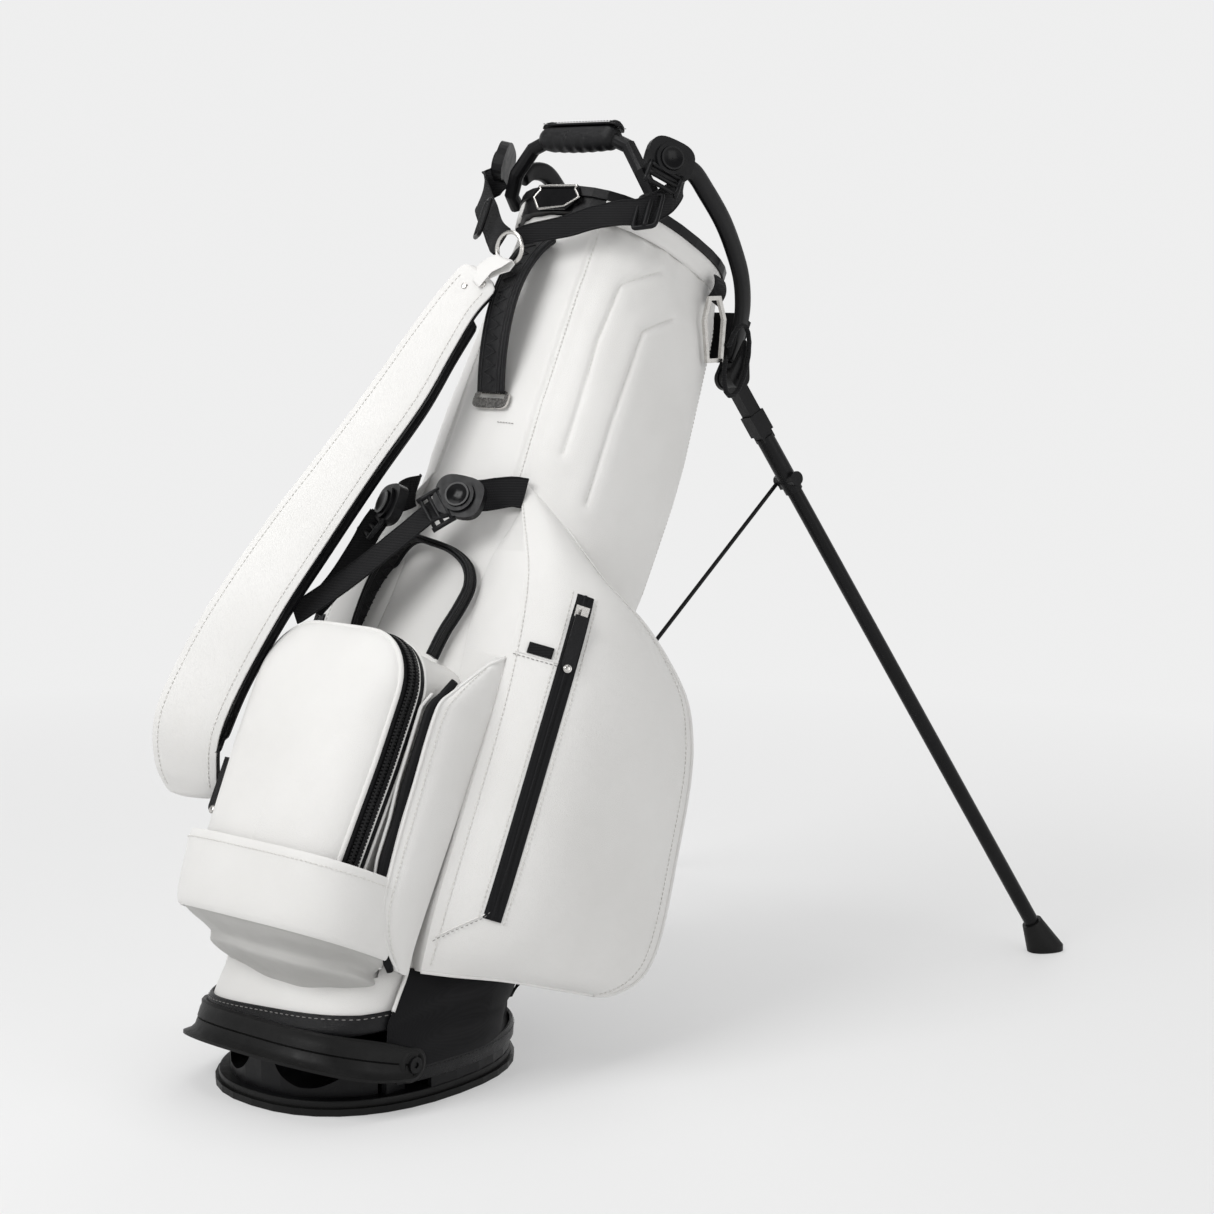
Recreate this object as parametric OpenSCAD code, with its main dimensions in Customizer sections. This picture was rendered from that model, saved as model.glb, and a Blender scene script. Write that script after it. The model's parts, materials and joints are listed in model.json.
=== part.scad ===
// Golf stand bag with fold-out legs, standing open on its legs.
// World frame: +Z up, the bag leans towards +X, its pockets face -X, the near side is -Y.
// Bag frame: z runs up the bag's own axis, x points to its back, y is the same as the world's.

/* [Stance] */
// Lean of the bag from vertical while it stands on its legs
lean = 27; // [24:0.5:30]
// Half of the distance between the two leg tips
foot_spread = 270; // [240:5:290]
// Distance of the leg tips behind the middle of the foot plate
foot_reach = 715; // [690:5:730]

/* [Foot plate] */
// Half length of the foot plate, front to back
plate_n = 133; // [130:1:136]
// Half width of the foot plate
plate_u = 110; // [108:1:112]
// Height of the foot plate's rear wall
plate_wall_h = 32; // [28:1:34]

/* [Trunk] */
// Height of the collar's rim along the bag's axis
rim_s = 800; // [790:1:810]
// Thickness of the padded trunk wall
wall_t = 5; // [4:1:7]

/* [Legs] */
// Radius of a leg tube
tube_r = 7.5; // [6:0.5:8]
// Radius of the steel push rods
rod_r = 2; // [1.5:0.5:2]
// Distance from a leg's hinge to its push rod
rod_lever = 115; // [112:1:118]
// Length of an upper push rod
rod_len = 250; // [245:1:252]

/* [Strap] */
// Greatest width of the shoulder pads
pad_w = 66; // [60:1:70]
// Width of the strap webbing
web_w = 28; // [25:1:30]

/* [Hidden] */

// Foot of the bag's axis in the world
axis_x = -6;
axis_z = 14;
// Pivot of the foot plate in the bag frame
pivot_n = -58;
pivot_r = 4;
// Slanted lower edge of the trunk: height at the front, and rise per millimetre towards the back
hem_front = 14;
hem_slope = 0.376;
front_n = -131;
// Corner sharpness of the oval outlines: 2 is an ellipse
oval_e = 2.3;
oval_count = 36;
// Gap between soft pieces that only touch
gap = 0.4;
fine = 48;

// Leg hinge in the bag frame, for the near side
hinge_n = 112;
hinge_u = 85;
hinge_s = 708;
knuckle_r = 10;
knuckle_w = 16;
pin_r = 4;
rod_inset = 14;
shoe_len = 34;

// Buckles: place in the bag frame and turn of the face away from straight ahead
upper_buckle = [-84, -101, 835];
upper_turn = 60;
lower_buckle = [-130, -28, 480];
lower_buckle_far = [-132, 50, 466];
lower_turn = 22;
buckle_t = 9;
button_r = 11;
button_t = 5;

// Side pocket zip: ends in the bag frame, near side
zip_top = [-70, -153, 412];
zip_low = [-62, -153, 142];

BLACK = [0.05, 0.05, 0.055];
WHITE = [0.92, 0.91, 0.89];
STEEL = [0.72, 0.71, 0.69];

// ---------- vectors and frames ----------

function unit(v) = v / norm(v);

// A point of the bag frame in the world
function world(p) = [
    axis_x + p.x * cos(lean) + p.z * sin(lean),
    p.y,
    axis_z - p.x * sin(lean) + p.z * cos(lean)
];

// A matrix whose columns are three axes and a place
function frame_at(p, fx, fy, fz) = [
    [fx.x, fy.x, fz.x, p.x],
    [fx.y, fy.y, fz.y, p.y],
    [fx.z, fy.z, fz.z, p.z],
    [0, 0, 0, 1]
];

module bag() {
    translate([axis_x, 0, axis_z]) rotate([0, lean, 0]) children();
}

module both_sides() {
    children();
    mirror([0, 1, 0]) children();
}

// ---------- outlines and lofts ----------

function oval(rn, ru, e = oval_e, count = oval_count) = [
    for (i = [0:count - 1])
        let (c = cos(360 * i / count), s = sin(360 * i / count))
        [rn * sign(c) * pow(abs(c), 2 / e), ru * sign(s) * pow(abs(s), 2 / e)]
];

// Closed solid through rings with equal point counts, listed from bottom to top
module loft(rings) {
    count = len(rings[0]);
    last = (len(rings) - 1) * count;
    polyhedron(
        points = [for (ring = rings) each ring],
        faces = concat(
            [[for (j = [0:count - 1]) j]],
            [[for (j = [count - 1:-1:0]) last + j]],
            [
                for (i = [0:len(rings) - 2], j = [0:count - 1])
                    let (a = i * count + j, b = i * count + (j + 1) % count)
                    each [[a, a + count, b + count], [a, b + count, b]]
            ]
        ),
        convexity = 8
    );
}

// Direction of a path at one of its points
function path_dir(path, i) =
    unit(path[min(i + 1, len(path) - 1)] - path[max(i - 1, 0)]);

// One ring of a swept section: side lies across the path, nearest to the hint
function path_ring(path, i, section, hint) =
    let (
        d = path_dir(path, i),
        side = unit(hint - d * (hint * d)),
        up = cross(side, d)
    )
    [for (q = section) path[i] + side * q.x + up * q.y];

// Section swept along a path of points; the first axis of the section follows the hint
module sweep(path, section, hint) {
    loft([for (i = [0:len(path) - 1]) path_ring(path, i, section, hint)]);
}

function round_section(r, sides = 10) =
    [for (i = [0:sides - 1]) [r * cos(-360 * i / sides), r * sin(-360 * i / sides)]];

function flat_section(w, t) =
    [[w / 2, t / 2], [w / 2, -t / 2], [-w / 2, -t / 2], [-w / 2, t / 2]];

function on_curve(a, b, c, t) = a * (1 - t) * (1 - t) + b * 2 * t * (1 - t) + c * t * t;

// ---------- trunk shape ----------

// Height along the axis against half depth, half width and the shift of the middle
function trunk_n(s) = lookup(s, [[0, 117], [140, 112], [300, 104], [450, 98], [700, 96], [800, 97]]);
function trunk_u(s) = lookup(s, [[0, 109], [140, 110], [300, 111], [450, 112], [600, 107], [720, 94], [800, 80]]);
function trunk_shift(s) = lookup(s, [[0, -14], [140, -8], [300, -2], [450, 0], [800, 0]]);

// Corner sharpness of the trunk's front half and back half
function front_e(s) = lookup(s, [[0, 3.4], [140, 2.7], [300, oval_e], [800, oval_e]]);
function back_e(s) = lookup(s, [[0, oval_e], [380, oval_e], [560, 3.3], [730, 3.3], [800, 2.6]]);

// Oval whose front half and back half have their own corner sharpness
function trunk_oval(s, grow) =
    let (
        rn = trunk_n(s) + grow, ru = trunk_u(s) + grow,
        front = oval(rn, ru, front_e(s)), back = oval(rn, ru, back_e(s))
    )
    [for (i = [0:oval_count - 1]) back[i].x > 0 ? back[i] : front[i]];

function hem(n, lift = 0) = hem_front + hem_slope * (n - front_n) + lift;

function trunk_ring(s, grow = 0) =
    [for (q = trunk_oval(s, grow)) [q.x + trunk_shift(s), q.y, s]];

function hem_ring(grow, lift) =
    [
        for (q = trunk_oval(0, grow))
            let (n = q.x + trunk_shift(0)) [n, q.y, hem(n, lift)]
    ];

trunk_levels = [150, 230, 320, 420, 520, 610, 700, 760];

// Solid that fills the trunk's outer shape, for trimming what lies against it
module trunk_form(grow) {
    loft(concat(
        [hem_ring(grow, -20), hem_ring(grow, 0)],
        [for (s = trunk_levels) trunk_ring(s, grow)],
        [trunk_ring(rim_s + 20, grow)]
    ));
}

// ---------- foot ----------

module foot_sole() {
    color([0.07, 0.07, 0.07])
    difference() {
        linear_extrude(6) polygon(oval(plate_n + 4, plate_u + 4));
        for (x = [-90:30:90])
            translate([x, 0, -1]) cube([4, 120, 4], center = true);
    }
}

module plate_wall(x_from, height) {
    intersection() {
        linear_extrude(height)
        difference() {
            polygon(oval(plate_n, plate_u));
            polygon(oval(plate_n - 4, plate_u - 4));
        }
        translate([x_from, -200, 0]) cube([400, 400, 100]);
    }
}

module plate_front() {
    difference() {
        intersection() {
            linear_extrude(28) polygon(oval(plate_n - 8, plate_u - 10));
            translate([-200, -200, 0]) cube([128, 400, 100]);
        }
        for (side = [-1, 1])
            translate([-140, side * 47, 40]) rotate([0, 82, 0]) cylinder(r = 36, h = 160, $fn = fine);
    }
}

module foot_plate() {
    p = world([pivot_n, 0, 0]);
    color(BLACK) {
        difference() {
            union() {
                translate([0, 0, 6]) linear_extrude(6) polygon(oval(plate_n, plate_u));
                translate([0, 0, 12]) plate_wall(-30, plate_wall_h - 12);
                translate([0, 0, 12]) plate_front();
                for (side = [-1, 1])
                    translate([p.x, side * 90.5, 0]) {
                        translate([0, 0, p.z]) rotate([90, 0, 0]) cylinder(r = 11, h = 6, center = true, $fn = fine);
                        translate([-11, -3, 10]) cube([22, 6, p.z - 10]);
                    }
            }
            translate([p.x, 0, p.z]) rotate([90, 0, 0]) cylinder(r = pivot_r + 0.05, h = 300, center = true, $fn = fine);
        }
        // Pad that lifts the drive yoke
        translate([81, -45, 11.9]) cube([28, 90, 26]);
    }
}

module pivot_bolts() {
    color(STEEL)
    bag() both_sides()
        translate([pivot_n, -86, 0]) rotate([90, 0, 0]) cylinder(r = pivot_r, h = 29, $fn = fine);
}

module base_frame() {
    color(BLACK)
    bag()
    difference() {
        union() {
            difference() {
                loft([hem_ring(-6, -6), hem_ring(-6, -1)]);
                loft([hem_ring(-20, -8), hem_ring(-20, 4)]);
            }
            both_sides() {
                translate([pivot_n - 10, -98.2, 0]) cube([20, 4, hem(pivot_n - 10) - 1.5]);
                translate([pivot_n, -94.2, 0]) rotate([90, 0, 0]) cylinder(r = 11, h = 4, $fn = fine);
            }
        }
        translate([pivot_n, 0, 0]) rotate([90, 0, 0]) cylinder(r = pivot_r, h = 300, center = true, $fn = fine);
    }
}

band_n = 139;
band_u = 117;
band_t = 5;

module front_band() {
    // The band droops a little in front of the bosses
    droop = 14;
    run = band_n + pivot_n;
    color([0.06, 0.06, 0.065])
    bag()
    difference() {
        union() {
            translate([pivot_n, 0, 0]) rotate([0, -atan(droop / run), 0]) translate([-pivot_n, 0, -15])
            linear_extrude(30)
            intersection() {
                difference() {
                    polygon(oval(band_n, band_u));
                    polygon(oval(band_n - band_t, band_u - band_t));
                }
                translate([-200, -200]) square([200 + pivot_n, 400]);
            }
            both_sides()
                translate([pivot_n, -104, 0]) rotate([90, 0, 0]) cylinder(r = 17, h = 9, $fn = fine);
        }
        translate([pivot_n, 0, 0]) rotate([90, 0, 0]) cylinder(r = pivot_r, h = 300, center = true, $fn = fine);
    }
}

module band_screws() {
    color(STEEL)
    bag() both_sides()
        translate([pivot_n, -115.1, 0]) rotate([90, 0, 0])
        difference() {
            cylinder(r = 7, h = 3, $fn = fine);
            translate([0, 0, 1.6]) cylinder(r = 3, h = 4, $fn = 6);
        }
}

// Soft black skirt that closes the wedge between the trunk and the foot plate's rear
module rear_gusset() {
    low = oval(plate_n - 7, plate_u - 7);
    // The skirt's top stands out at the back, over the push rods
    high = oval(trunk_n(0) + 19, trunk_u(0) - 1, 3.2);
    first = 27;
    color([0.08, 0.08, 0.085])
    loft([
        for (k = [0:18])
            let (
                i = (first + k) % oval_count,
                a = low[i], b = high[i],
                n = b.x + trunk_shift(0),
                top = world([n, b.y, hem(n, -6.5)]),
                foot = [a.x, a.y, plate_wall_h + 1.5],
                inward = unit([-a.x, -a.y, 0]) * 2
            )
            [foot + inward, top + inward, top, foot]
    ]);
}

// ---------- trunk ----------

module trunk_shell() {
    color(WHITE)
    bag()
    loft(concat(
        [hem_ring(0, 0)],
        [for (s = trunk_levels) trunk_ring(s)],
        [trunk_ring(774)],
        [trunk_ring(774, -wall_t)],
        [for (k = [len(trunk_levels) - 1:-1:0]) trunk_ring(trunk_levels[k], -wall_t)],
        [hem_ring(-wall_t, 9)]
    ));
}

// Bound lower edge of the trunk's front
module trunk_binding() {
    color(BLACK)
    bag()
    intersection() {
        difference() {
            loft([hem_ring(2.4, 0.5), hem_ring(2.4, 16)]);
            trunk_form(gap);
        }
        translate([-200, -200, 0]) cube([185, 400, 200]);
    }
}

// Stiffening rods that hold the collar and the base apart
module body_stays() {
    color([0.25, 0.25, 0.27])
    bag() {
        for (side = [-1, 1], n = [-52, 52])
            sweep([
                for (s = [150, 300, 450, 600, 700, 770])
                    let (k = side * (trunk_u(s) - wall_t - 4), r = 1 - pow(abs(n) / (trunk_n(s) - wall_t - 4), oval_e))
                    [n + trunk_shift(s), k * pow(r, 1 / oval_e), s]
            ], round_section(2.5, 8), [1, 0, 0]);
    }
}

module hip_pad() {
    color([0.1, 0.1, 0.105])
    bag()
    difference() {
        hull() for (s = [165, 415], y = [-34, 34])
            translate([104, y, s]) sphere(r = 15, $fn = 20);
        trunk_form(gap);
    }
}

// ---------- collar ----------

module collar() {
    low = 775;
    color(BLACK)
    bag() {
        difference() {
            union() {
                translate([0, 0, low]) linear_extrude(rim_s - low) polygon(oval(102, 86, 2.5));
                translate([0, 0, rim_s - 9]) linear_extrude(9) polygon(oval(105, 89, 2.5));
            }
            translate([0, 0, low - 1]) linear_extrude(rim_s) polygon(oval(90, 73, 2.5));
        }
    }
}

divider_n = [-32, 30];

module collar_dividers() {
    low = 640;
    high = 792;
    color([0.12, 0.12, 0.13])
    bag() {
        for (n = divider_n)
            translate([n - 1.5, -67, low]) cube([3, 134, high - low]);
        translate([divider_n[0] + 1.5, -1.5, low]) cube([divider_n[1] - divider_n[0] - 3, 3, high - low]);
    }
}

module collar_badge() {
    color(STEEL)
    bag()
    translate([-105.2, 0, 787]) rotate([0, -90, 0]) {
        linear_extrude(1.6)
        difference() {
            polygon([[-12, -16], [-12, 16], [0, 30], [12, 24], [12, -24], [0, -30]]);
            polygon([[-9.5, -15], [-9.5, 15], [0, 26], [9.5, 21.5], [9.5, -21.5], [0, -26]]);
        }
        linear_extrude(1)
            polygon([[-9, -14.5], [-9, 14.5], [0, 25.5], [9, 21], [9, -21], [0, -25.5]]);
    }
}

// Half of the front carrying arch, from its middle to the collar
arch_half = [[-99, 0, 852], [-98, 40, 850], [-95, 58, 844], [-88, 76, 822], [-76, 86, 806], [-62, 88, 800.5]];

module collar_handle() {
    color(BLACK)
    bag()
    sweep(concat(
        [for (k = [len(arch_half) - 1:-1:1]) arch_half[k]],
        [for (q = arch_half) [q.x, -q.y, q.z]]
    ), round_section(7, 12), [1, 0, 0]);
}

module handle_grip() {
    color([0.07, 0.07, 0.07])
    bag() {
        difference() {
            hull() for (y = [-40, 40])
                translate([-98.5, y, 850.5]) rotate([90, 0, 0]) cylinder(r = 13, h = 4, center = true, $fn = 24);
            hull() for (y = [-60, 60])
                translate([-98.5, y, 850.5]) rotate([90, 0, 0]) cylinder(r = 9.5, h = 4, center = true, $fn = 24);
        }
        for (y = [-32, 32])
            translate([-105, y, 861]) rotate([0, -30, 0]) cylinder(r = 5, h = 3.5, $fn = 24);
    }
}

// ---------- leg hinges ----------

function hinge_point(side) = world([hinge_n, side * hinge_u, hinge_s]);
function foot_point(side) = [foot_reach, side * foot_spread, 0];
function leg_dir(side) = unit(foot_point(side) - hinge_point(side));
down_axis = [-sin(lean), 0, -cos(lean)];
// Hinge axis: square to the leg both when it is open and when it lies along the bag
function hinge_axis(side) = unit(cross(leg_dir(side), down_axis));
function leg_frame(side) =
    let (d = leg_dir(side), w = hinge_axis(side))
    frame_at(hinge_point(side), cross(w, d), w, d);
fold_angle = acos(leg_dir(-1) * down_axis);

module at_leg(side) {
    multmatrix(leg_frame(side)) children();
}

module hinge_ear(side, shift) {
    hull() {
        at_leg(side) translate([0, shift, 0]) rotate([90, 0, 0])
            cylinder(r = knuckle_r + 1, h = 5, center = true, $fn = 32);
        translate(hinge_axis(side) * shift * 1.1) bag()
            translate([106, side * hinge_u, hinge_s + 26]) cube([6, 3, 16], center = true);
    }
}

module hinge_housing() {
    arm = [
        [-56, -90, 806], [-40, -90, 838], [-15, -89, 856], [20, -88, 850],
        [58, -88, 826], [84, -87, 798], [99, -86, 768], [106, -80, 742]
    ];
    color(BLACK)
    difference() {
        union() {
            bag() {
                // Back plate
                translate([103, -84, 722]) cube([6, 168, 50]);
                both_sides() sweep(arm, flat_section(10, 18), [0, 1, 0]);
            }
            for (side = [-1, 1], shift = [-11.3, 11.3]) hinge_ear(side, shift);
        }
        for (side = [-1, 1])
            at_leg(side) rotate([90, 0, 0]) cylinder(r = pin_r, h = 60, center = true, $fn = fine);
    }
}

module hinge_pins() {
    color(STEEL)
    for (side = [-1, 1])
        at_leg(side) rotate([90, 0, 0]) cylinder(r = pin_r, h = 30, center = true, $fn = fine);
}

// ---------- legs ----------

leg_len = norm(foot_point(-1) - hinge_point(-1));

module leg_bracket(side) {
    color(BLACK)
    at_leg(side)
    difference() {
        union() {
            rotate([90, 0, 0]) cylinder(r = knuckle_r, h = knuckle_w, center = true, $fn = fine);
            translate([-7, -7, 4]) cube([14, 14, 66]);
            translate([-9, -8, 40]) cube([18, 16, 22]);
            translate([0, 0, 66]) cylinder(r = 9, h = 62, $fn = fine);
            // Lug and pin for the push rod
            translate([-7, side < 0 ? 0 : -10, rod_lever - 7]) cube([14, 10, 14]);
            translate([0, side < 0 ? 9 : -9, rod_lever]) rotate([side < 0 ? -90 : 90, 0, 0])
                cylinder(r = 2.2, h = 10, $fn = fine);
            // Clamp knob
            translate([0, side < 0 ? -6 : 6, rod_lever]) rotate([side < 0 ? 90 : -90, 0, 0])
                cylinder(r = 7, h = 9, $fn = fine);
        }
        rotate([90, 0, 0]) cylinder(r = pin_r + 0.06, h = 60, center = true, $fn = fine);
        translate([0, 0, 84]) cylinder(r = tube_r, h = 80, $fn = fine);
    }
}

module leg_bracket_near() { leg_bracket(-1); }
module leg_bracket_far() { leg_bracket(1); }

module leg_tube(side) {
    color([0.06, 0.06, 0.065])
    at_leg(side)
    translate([0, 0, 85])
    difference() {
        cylinder(r = tube_r, h = leg_len - 85 - shoe_len + 12, $fn = fine);
        translate([0, 0, -1]) cylinder(r = tube_r - 1.2, h = leg_len - 85 - shoe_len, $fn = fine);
    }
}

module leg_tube_near() { leg_tube(-1); }
module leg_tube_far() { leg_tube(1); }

// Rubber shoe: a sleeve on the tube and a tread that lies flat on the ground
module leg_shoe(side) {
    f = foot_point(side);
    d = leg_dir(side);
    color([0.05, 0.05, 0.05])
    difference() {
        hull() {
            multmatrix(leg_frame(side)) translate([0, 0, leg_len - shoe_len - 2]) cylinder(r = 10.5, h = 3, $fn = 32);
            translate([f.x - 4, f.y, 0]) rotate([0, 0, atan2(d.y, d.x)]) linear_extrude(6) polygon(oval(19, 13));
        }
        multmatrix(leg_frame(side)) translate([0, 0, leg_len - shoe_len - 30])
            cylinder(r = tube_r, h = 42, $fn = fine);
    }
}

module leg_shoe_near() { leg_shoe(-1); }
module leg_shoe_far() { leg_shoe(1); }

// ---------- stand linkage ----------

function rod_top(side) =
    hinge_point(side) + leg_dir(side) * rod_lever - hinge_axis(side) * side * rod_inset;
rod_out = rod_lever * sin(fold_angle);
rod_drop = rod_lever * cos(fold_angle) + sqrt(rod_len * rod_len - rod_out * rod_out);
function rod_end(side) =
    hinge_point(side) - hinge_axis(side) * side * rod_inset + down_axis * rod_drop;

module push_rod(side) {
    top = rod_top(side);
    d = unit(rod_end(side) - top);
    w = hinge_axis(side);
    color([0.1, 0.1, 0.1])
    multmatrix(frame_at(top, cross(w, d), w, d)) {
        difference() {
            rotate([90, 0, 0]) cylinder(r = 5.5, h = 5, center = true, $fn = fine);
            rotate([90, 0, 0]) cylinder(r = 2.6, h = 20, center = true, $fn = fine);
        }
        translate([0, 0, 4.5]) cylinder(r = rod_r, h = rod_len - 6, $fn = fine);
        translate([0, 0, rod_len]) rotate([90, 0, 0]) cylinder(r = 3, h = 6, center = true, $fn = fine);
    }
}

module push_rod_near() { push_rod(-1); }
module push_rod_far() { push_rod(1); }

yoke_n = 110;
yoke_u = 58;

module drive_yoke() {
    half = [[87, 0, 80], [87, 40, 80], [92, 52, 83], [104, 57, 90], [yoke_n, yoke_u, 104]];
    tall = [[yoke_n, yoke_u, 250], [yoke_n, yoke_u, 404]];
    side = concat(half, tall);
    color([0.12, 0.12, 0.12])
    bag()
    sweep(concat(
        [for (k = [len(side) - 1:-1:1]) side[k]],
        [for (q = side) [q.x, -q.y, q.z]]
    ), round_section(2.5, 10), [0.3, 0, 1]);
}

module rod_guides() {
    color(BLACK)
    bag() both_sides()
        for (s = [215, 350])
            difference() {
                translate([100, -yoke_u - 6, s]) cube([15, 12, 16]);
                translate([yoke_n, -yoke_u, s - 1]) cylinder(r = 3.2, h = 20, $fn = fine);
            }
}

// ---------- soft handles ----------

module trunk_handle() {
    color([0.09, 0.09, 0.09])
    bag()
    sweep([
        for (t = [0:0.1:1])
            on_curve([-101.5, 2, 742], [-147, 2, 690], [-104.5, 2, 598], t)
    ], flat_section(30, 9), [0, 1, 0]);
}

module handle_bracket() {
    color(STEEL)
    bag()
    translate([-99.5, 2, 586]) rotate([0, -90, 0])
    difference() {
        linear_extrude(2.4) polygon(oval(9, 21, 4, 24));
        translate([3, 0, -1]) linear_extrude(6) square([4, 32], center = true);
    }
}

// Arched handle on the trunk's front, above the front pocket
lower_handle_path = [
    [-90, 77, 346], [-96, 74, 370], [-100, 66, 408], [-107, 48, 434], [-113, 26, 443], [-114, 4, 441],
    [-111, -22, 436], [-107, -41, 425], [-105, -49, 408], [-106, -47, 388], [-108, -43, 364], [-110, -40, 343]
];

module lower_handle() {
    color([0.09, 0.09, 0.09])
    bag() sweep(lower_handle_path, flat_section(12, 6), [1, 0, 0]);
}

// ---------- front pocket ----------

ball_w = 84;
ball_low = 138;
ball_spring = 284;
ball_corner = 52;

// Arched outline, across by height
module ball_outline(grow) {
    hull() {
        translate([-ball_w + 6 - grow, ball_low]) square([2 * (ball_w - 6 + grow), 20]);
        for (side = [-1, 1])
            translate([side * (ball_w - ball_corner), ball_spring]) circle(r = ball_corner + grow, $fn = 40);
    }
}

// Stands an outline drawn in y and z between two depths of the bag frame
module across(n_front, n_back) {
    translate([n_front, 0, 0])
        rotate([90, 0, 90]) linear_extrude(n_back - n_front) children();
}

module ball_pocket() {
    color(WHITE)
    bag() {
        difference() {
            across(-164, -80) ball_outline(0);
            trunk_form(gap);
        }
        hull() {
            across(-184, -180) ball_outline(-2);
            across(-203, -200) ball_outline(-12);
            across(-208, -206) ball_outline(-30);
        }
    }
}

module ball_zip() {
    color(BLACK)
    bag() {
        across(-180, -164)
        difference() {
            ball_outline(0);
            ball_outline(-8);
        }
    }
}

module cuff_form(grow) {
    translate([-128, 0, 128 - grow]) linear_extrude(6 + 2 * grow) polygon(oval(87 + grow, 105 + grow, 3.2));
    translate([-118, 0, 72 - grow]) linear_extrude(4) polygon(oval(84 + grow, 104 + grow, 3.2));
    translate([-100, 0, 44 - grow]) linear_extrude(4) polygon(oval(60 + grow, 92 + grow, 2.8));
}

module ball_cuff() {
    color(WHITE)
    bag()
    difference() {
        hull() {
            cuff_form(0);
        }
        trunk_form(gap);
        side_pocket_trim();
    }
}

// ---------- side pockets ----------

// Plan of a side pocket: its piped back edge lies at back, its outer face at reach from the axis
module pocket_slab(front, back, reach, low, high) {
    inner = min(126, reach - 12);
    translate([0, 0, low]) linear_extrude(high - low)
        polygon([
            [front, -92], [front, -112], [front + 34, -reach + 18], [front + 66, -reach],
            [back - 10, -reach], [back, -reach + 10], [back - 6, -inner], [60, -92]
        ]);
}

module side_pocket_form(front) {
    hull() {
        pocket_slab(front + 14, 62, 114, 486, 488);
        pocket_slab(front, 88, 162, 396, 400);
        pocket_slab(front, 119, 172, 318, 322);
        pocket_slab(front, 142, 173, 168, 178);
        pocket_slab(front + 4, 139, 165, 132, 136);
        pocket_slab(front + 12, 106, 152, 102, 106);
    }
}

// Keeps a hull off the lane where the folded leg and its rod lie
module leg_lane() {
    translate([92, -103.5, 0]) cube([100, 207, 600]);
}

module side_pocket_near() {
    color(WHITE)
    bag()
    difference() {
        side_pocket_form(-100);
        trunk_form(gap);
        leg_lane();
        zip_groove();
    }
}

module side_pocket_far() {
    color(WHITE)
    bag() mirror([0, 1, 0])
    difference() {
        side_pocket_form(-100);
        trunk_form(gap);
        leg_lane();
        zip_groove();
    }
}

function zip_dir() = unit(zip_low - zip_top);
function zip_face() = unit([-0.62, -0.78, 0]);

module at_zip() {
    d = zip_dir();
    f = unit(zip_face() - d * (zip_face() * d));
    multmatrix(frame_at(zip_top, cross(f, d), f, d)) children();
}

zip_len = norm(zip_low - zip_top);

module zip_groove() {
    at_zip() translate([-13, -14, -12]) cube([26, 60, zip_len + 24]);
}

module side_zip() {
    bag() at_zip() translate([-12.5, -13.6, -11]) cube([25, 6, zip_len + 22]);
}

module side_zip_near() { color(BLACK) side_zip(); }
module side_zip_far() { color(BLACK) mirror([0, 1, 0]) side_zip(); }

module front_panel() {
    color(WHITE)
    bag()
    difference() {
        hull() {
            translate([-150, -112, 146]) cube([44, 24, 140]);
            translate([-120, -112, 70]) cube([18, 18, 20]);
            translate([-112, -110, 340]) cube([10, 12, 8]);
        }
        trunk_form(gap);
        side_pocket_trim();
        ball_trim();
    }
}

module side_pocket_trim() {
    translate([-100.3, -200, 60]) cube([200, 400, 440]);
}

module ball_trim() {
    translate([-220, -ball_w - 1, 60]) cube([130, 2 * ball_w + 2, 300]);
    hull() cuff_form(1);
}

// ---------- zip sliders ----------

module slider_shape() {
    translate([-6, -6.8, 0]) cube([12, 4.6, 18]);
    translate([-1.5, -2.4, 3]) cube([3, 4, 3]);
    translate([-1.5, -2.4, 12]) cube([3, 4, 3]);
    translate([-1.5, 1.4, 3]) cube([3, 2, 12]);
}

module pull_shape() {
    translate([-6, 4.1, 10]) cube([12, 3, 44]);
    translate([0, 4.1, 54]) rotate([-90, 0, 0]) cylinder(r = 6, h = 3, $fn = 24);
}

module side_slider_near() { color(STEEL) bag() at_zip() slider_shape(); }
module side_slider_far() { color(STEEL) mirror([0, 1, 0]) bag() at_zip() slider_shape(); }
module side_pull_near() { color(BLACK) bag() at_zip() pull_shape(); }
module side_pull_far() { color(BLACK) mirror([0, 1, 0]) bag() at_zip() pull_shape(); }

// Front pocket's slider, parked low on the far side
module at_ball_zip() {
    multmatrix(frame_at([-172, ball_w + 7, 215], [0, 1, 0], [-1, 0, 0], [0, 0, 1]))
        mirror([0, 0, 1]) children();
}

module ball_slider() {
    color(STEEL)
    bag() at_ball_zip() slider_shape();
}

module ball_pull() {
    color(BLACK)
    bag() at_ball_zip() pull_shape();
}

// ---------- shoulder strap ----------

// Middle line of the outer pad, from its ring down to its loop beside the front pocket, with its share of the width
pad_run = [
    [-145, 18, 690, 0.64], [-150, 33, 658, 0.65], [-157, 43, 614, 0.73], [-164, 54, 562, 0.81],
    [-181, 67, 490, 0.84], [-201, 79, 411, 0.92], [-214, 93, 339, 0.95], [-211, 115, 277, 0.98],
    [-205, 128, 223, 1], [-184, 135, 188, 0.97], [-160, 137, 168, 0.88]
];
pad_t = 9;
pad_hint = [-0.42, 1, 0.1];
inner_pad_offset = [14, 2, -4];
inner_pad_trim = 8;

// A pad through the run's points between the two asked for
module pad(first, last, offset, trim) {
    line = [for (k = [first:last]) [pad_run[k][0], pad_run[k][1], pad_run[k][2]] + offset];
    loft([
        for (k = [0:len(line) - 1])
            path_ring(line, k, flat_section(pad_run[k + first][3] * pad_w - trim, pad_t), pad_hint)
    ]);
}

module strap_pad_outer() {
    color(WHITE)
    bag() pad(0, len(pad_run) - 1, [0, 0, 0], 0);
}

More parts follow.
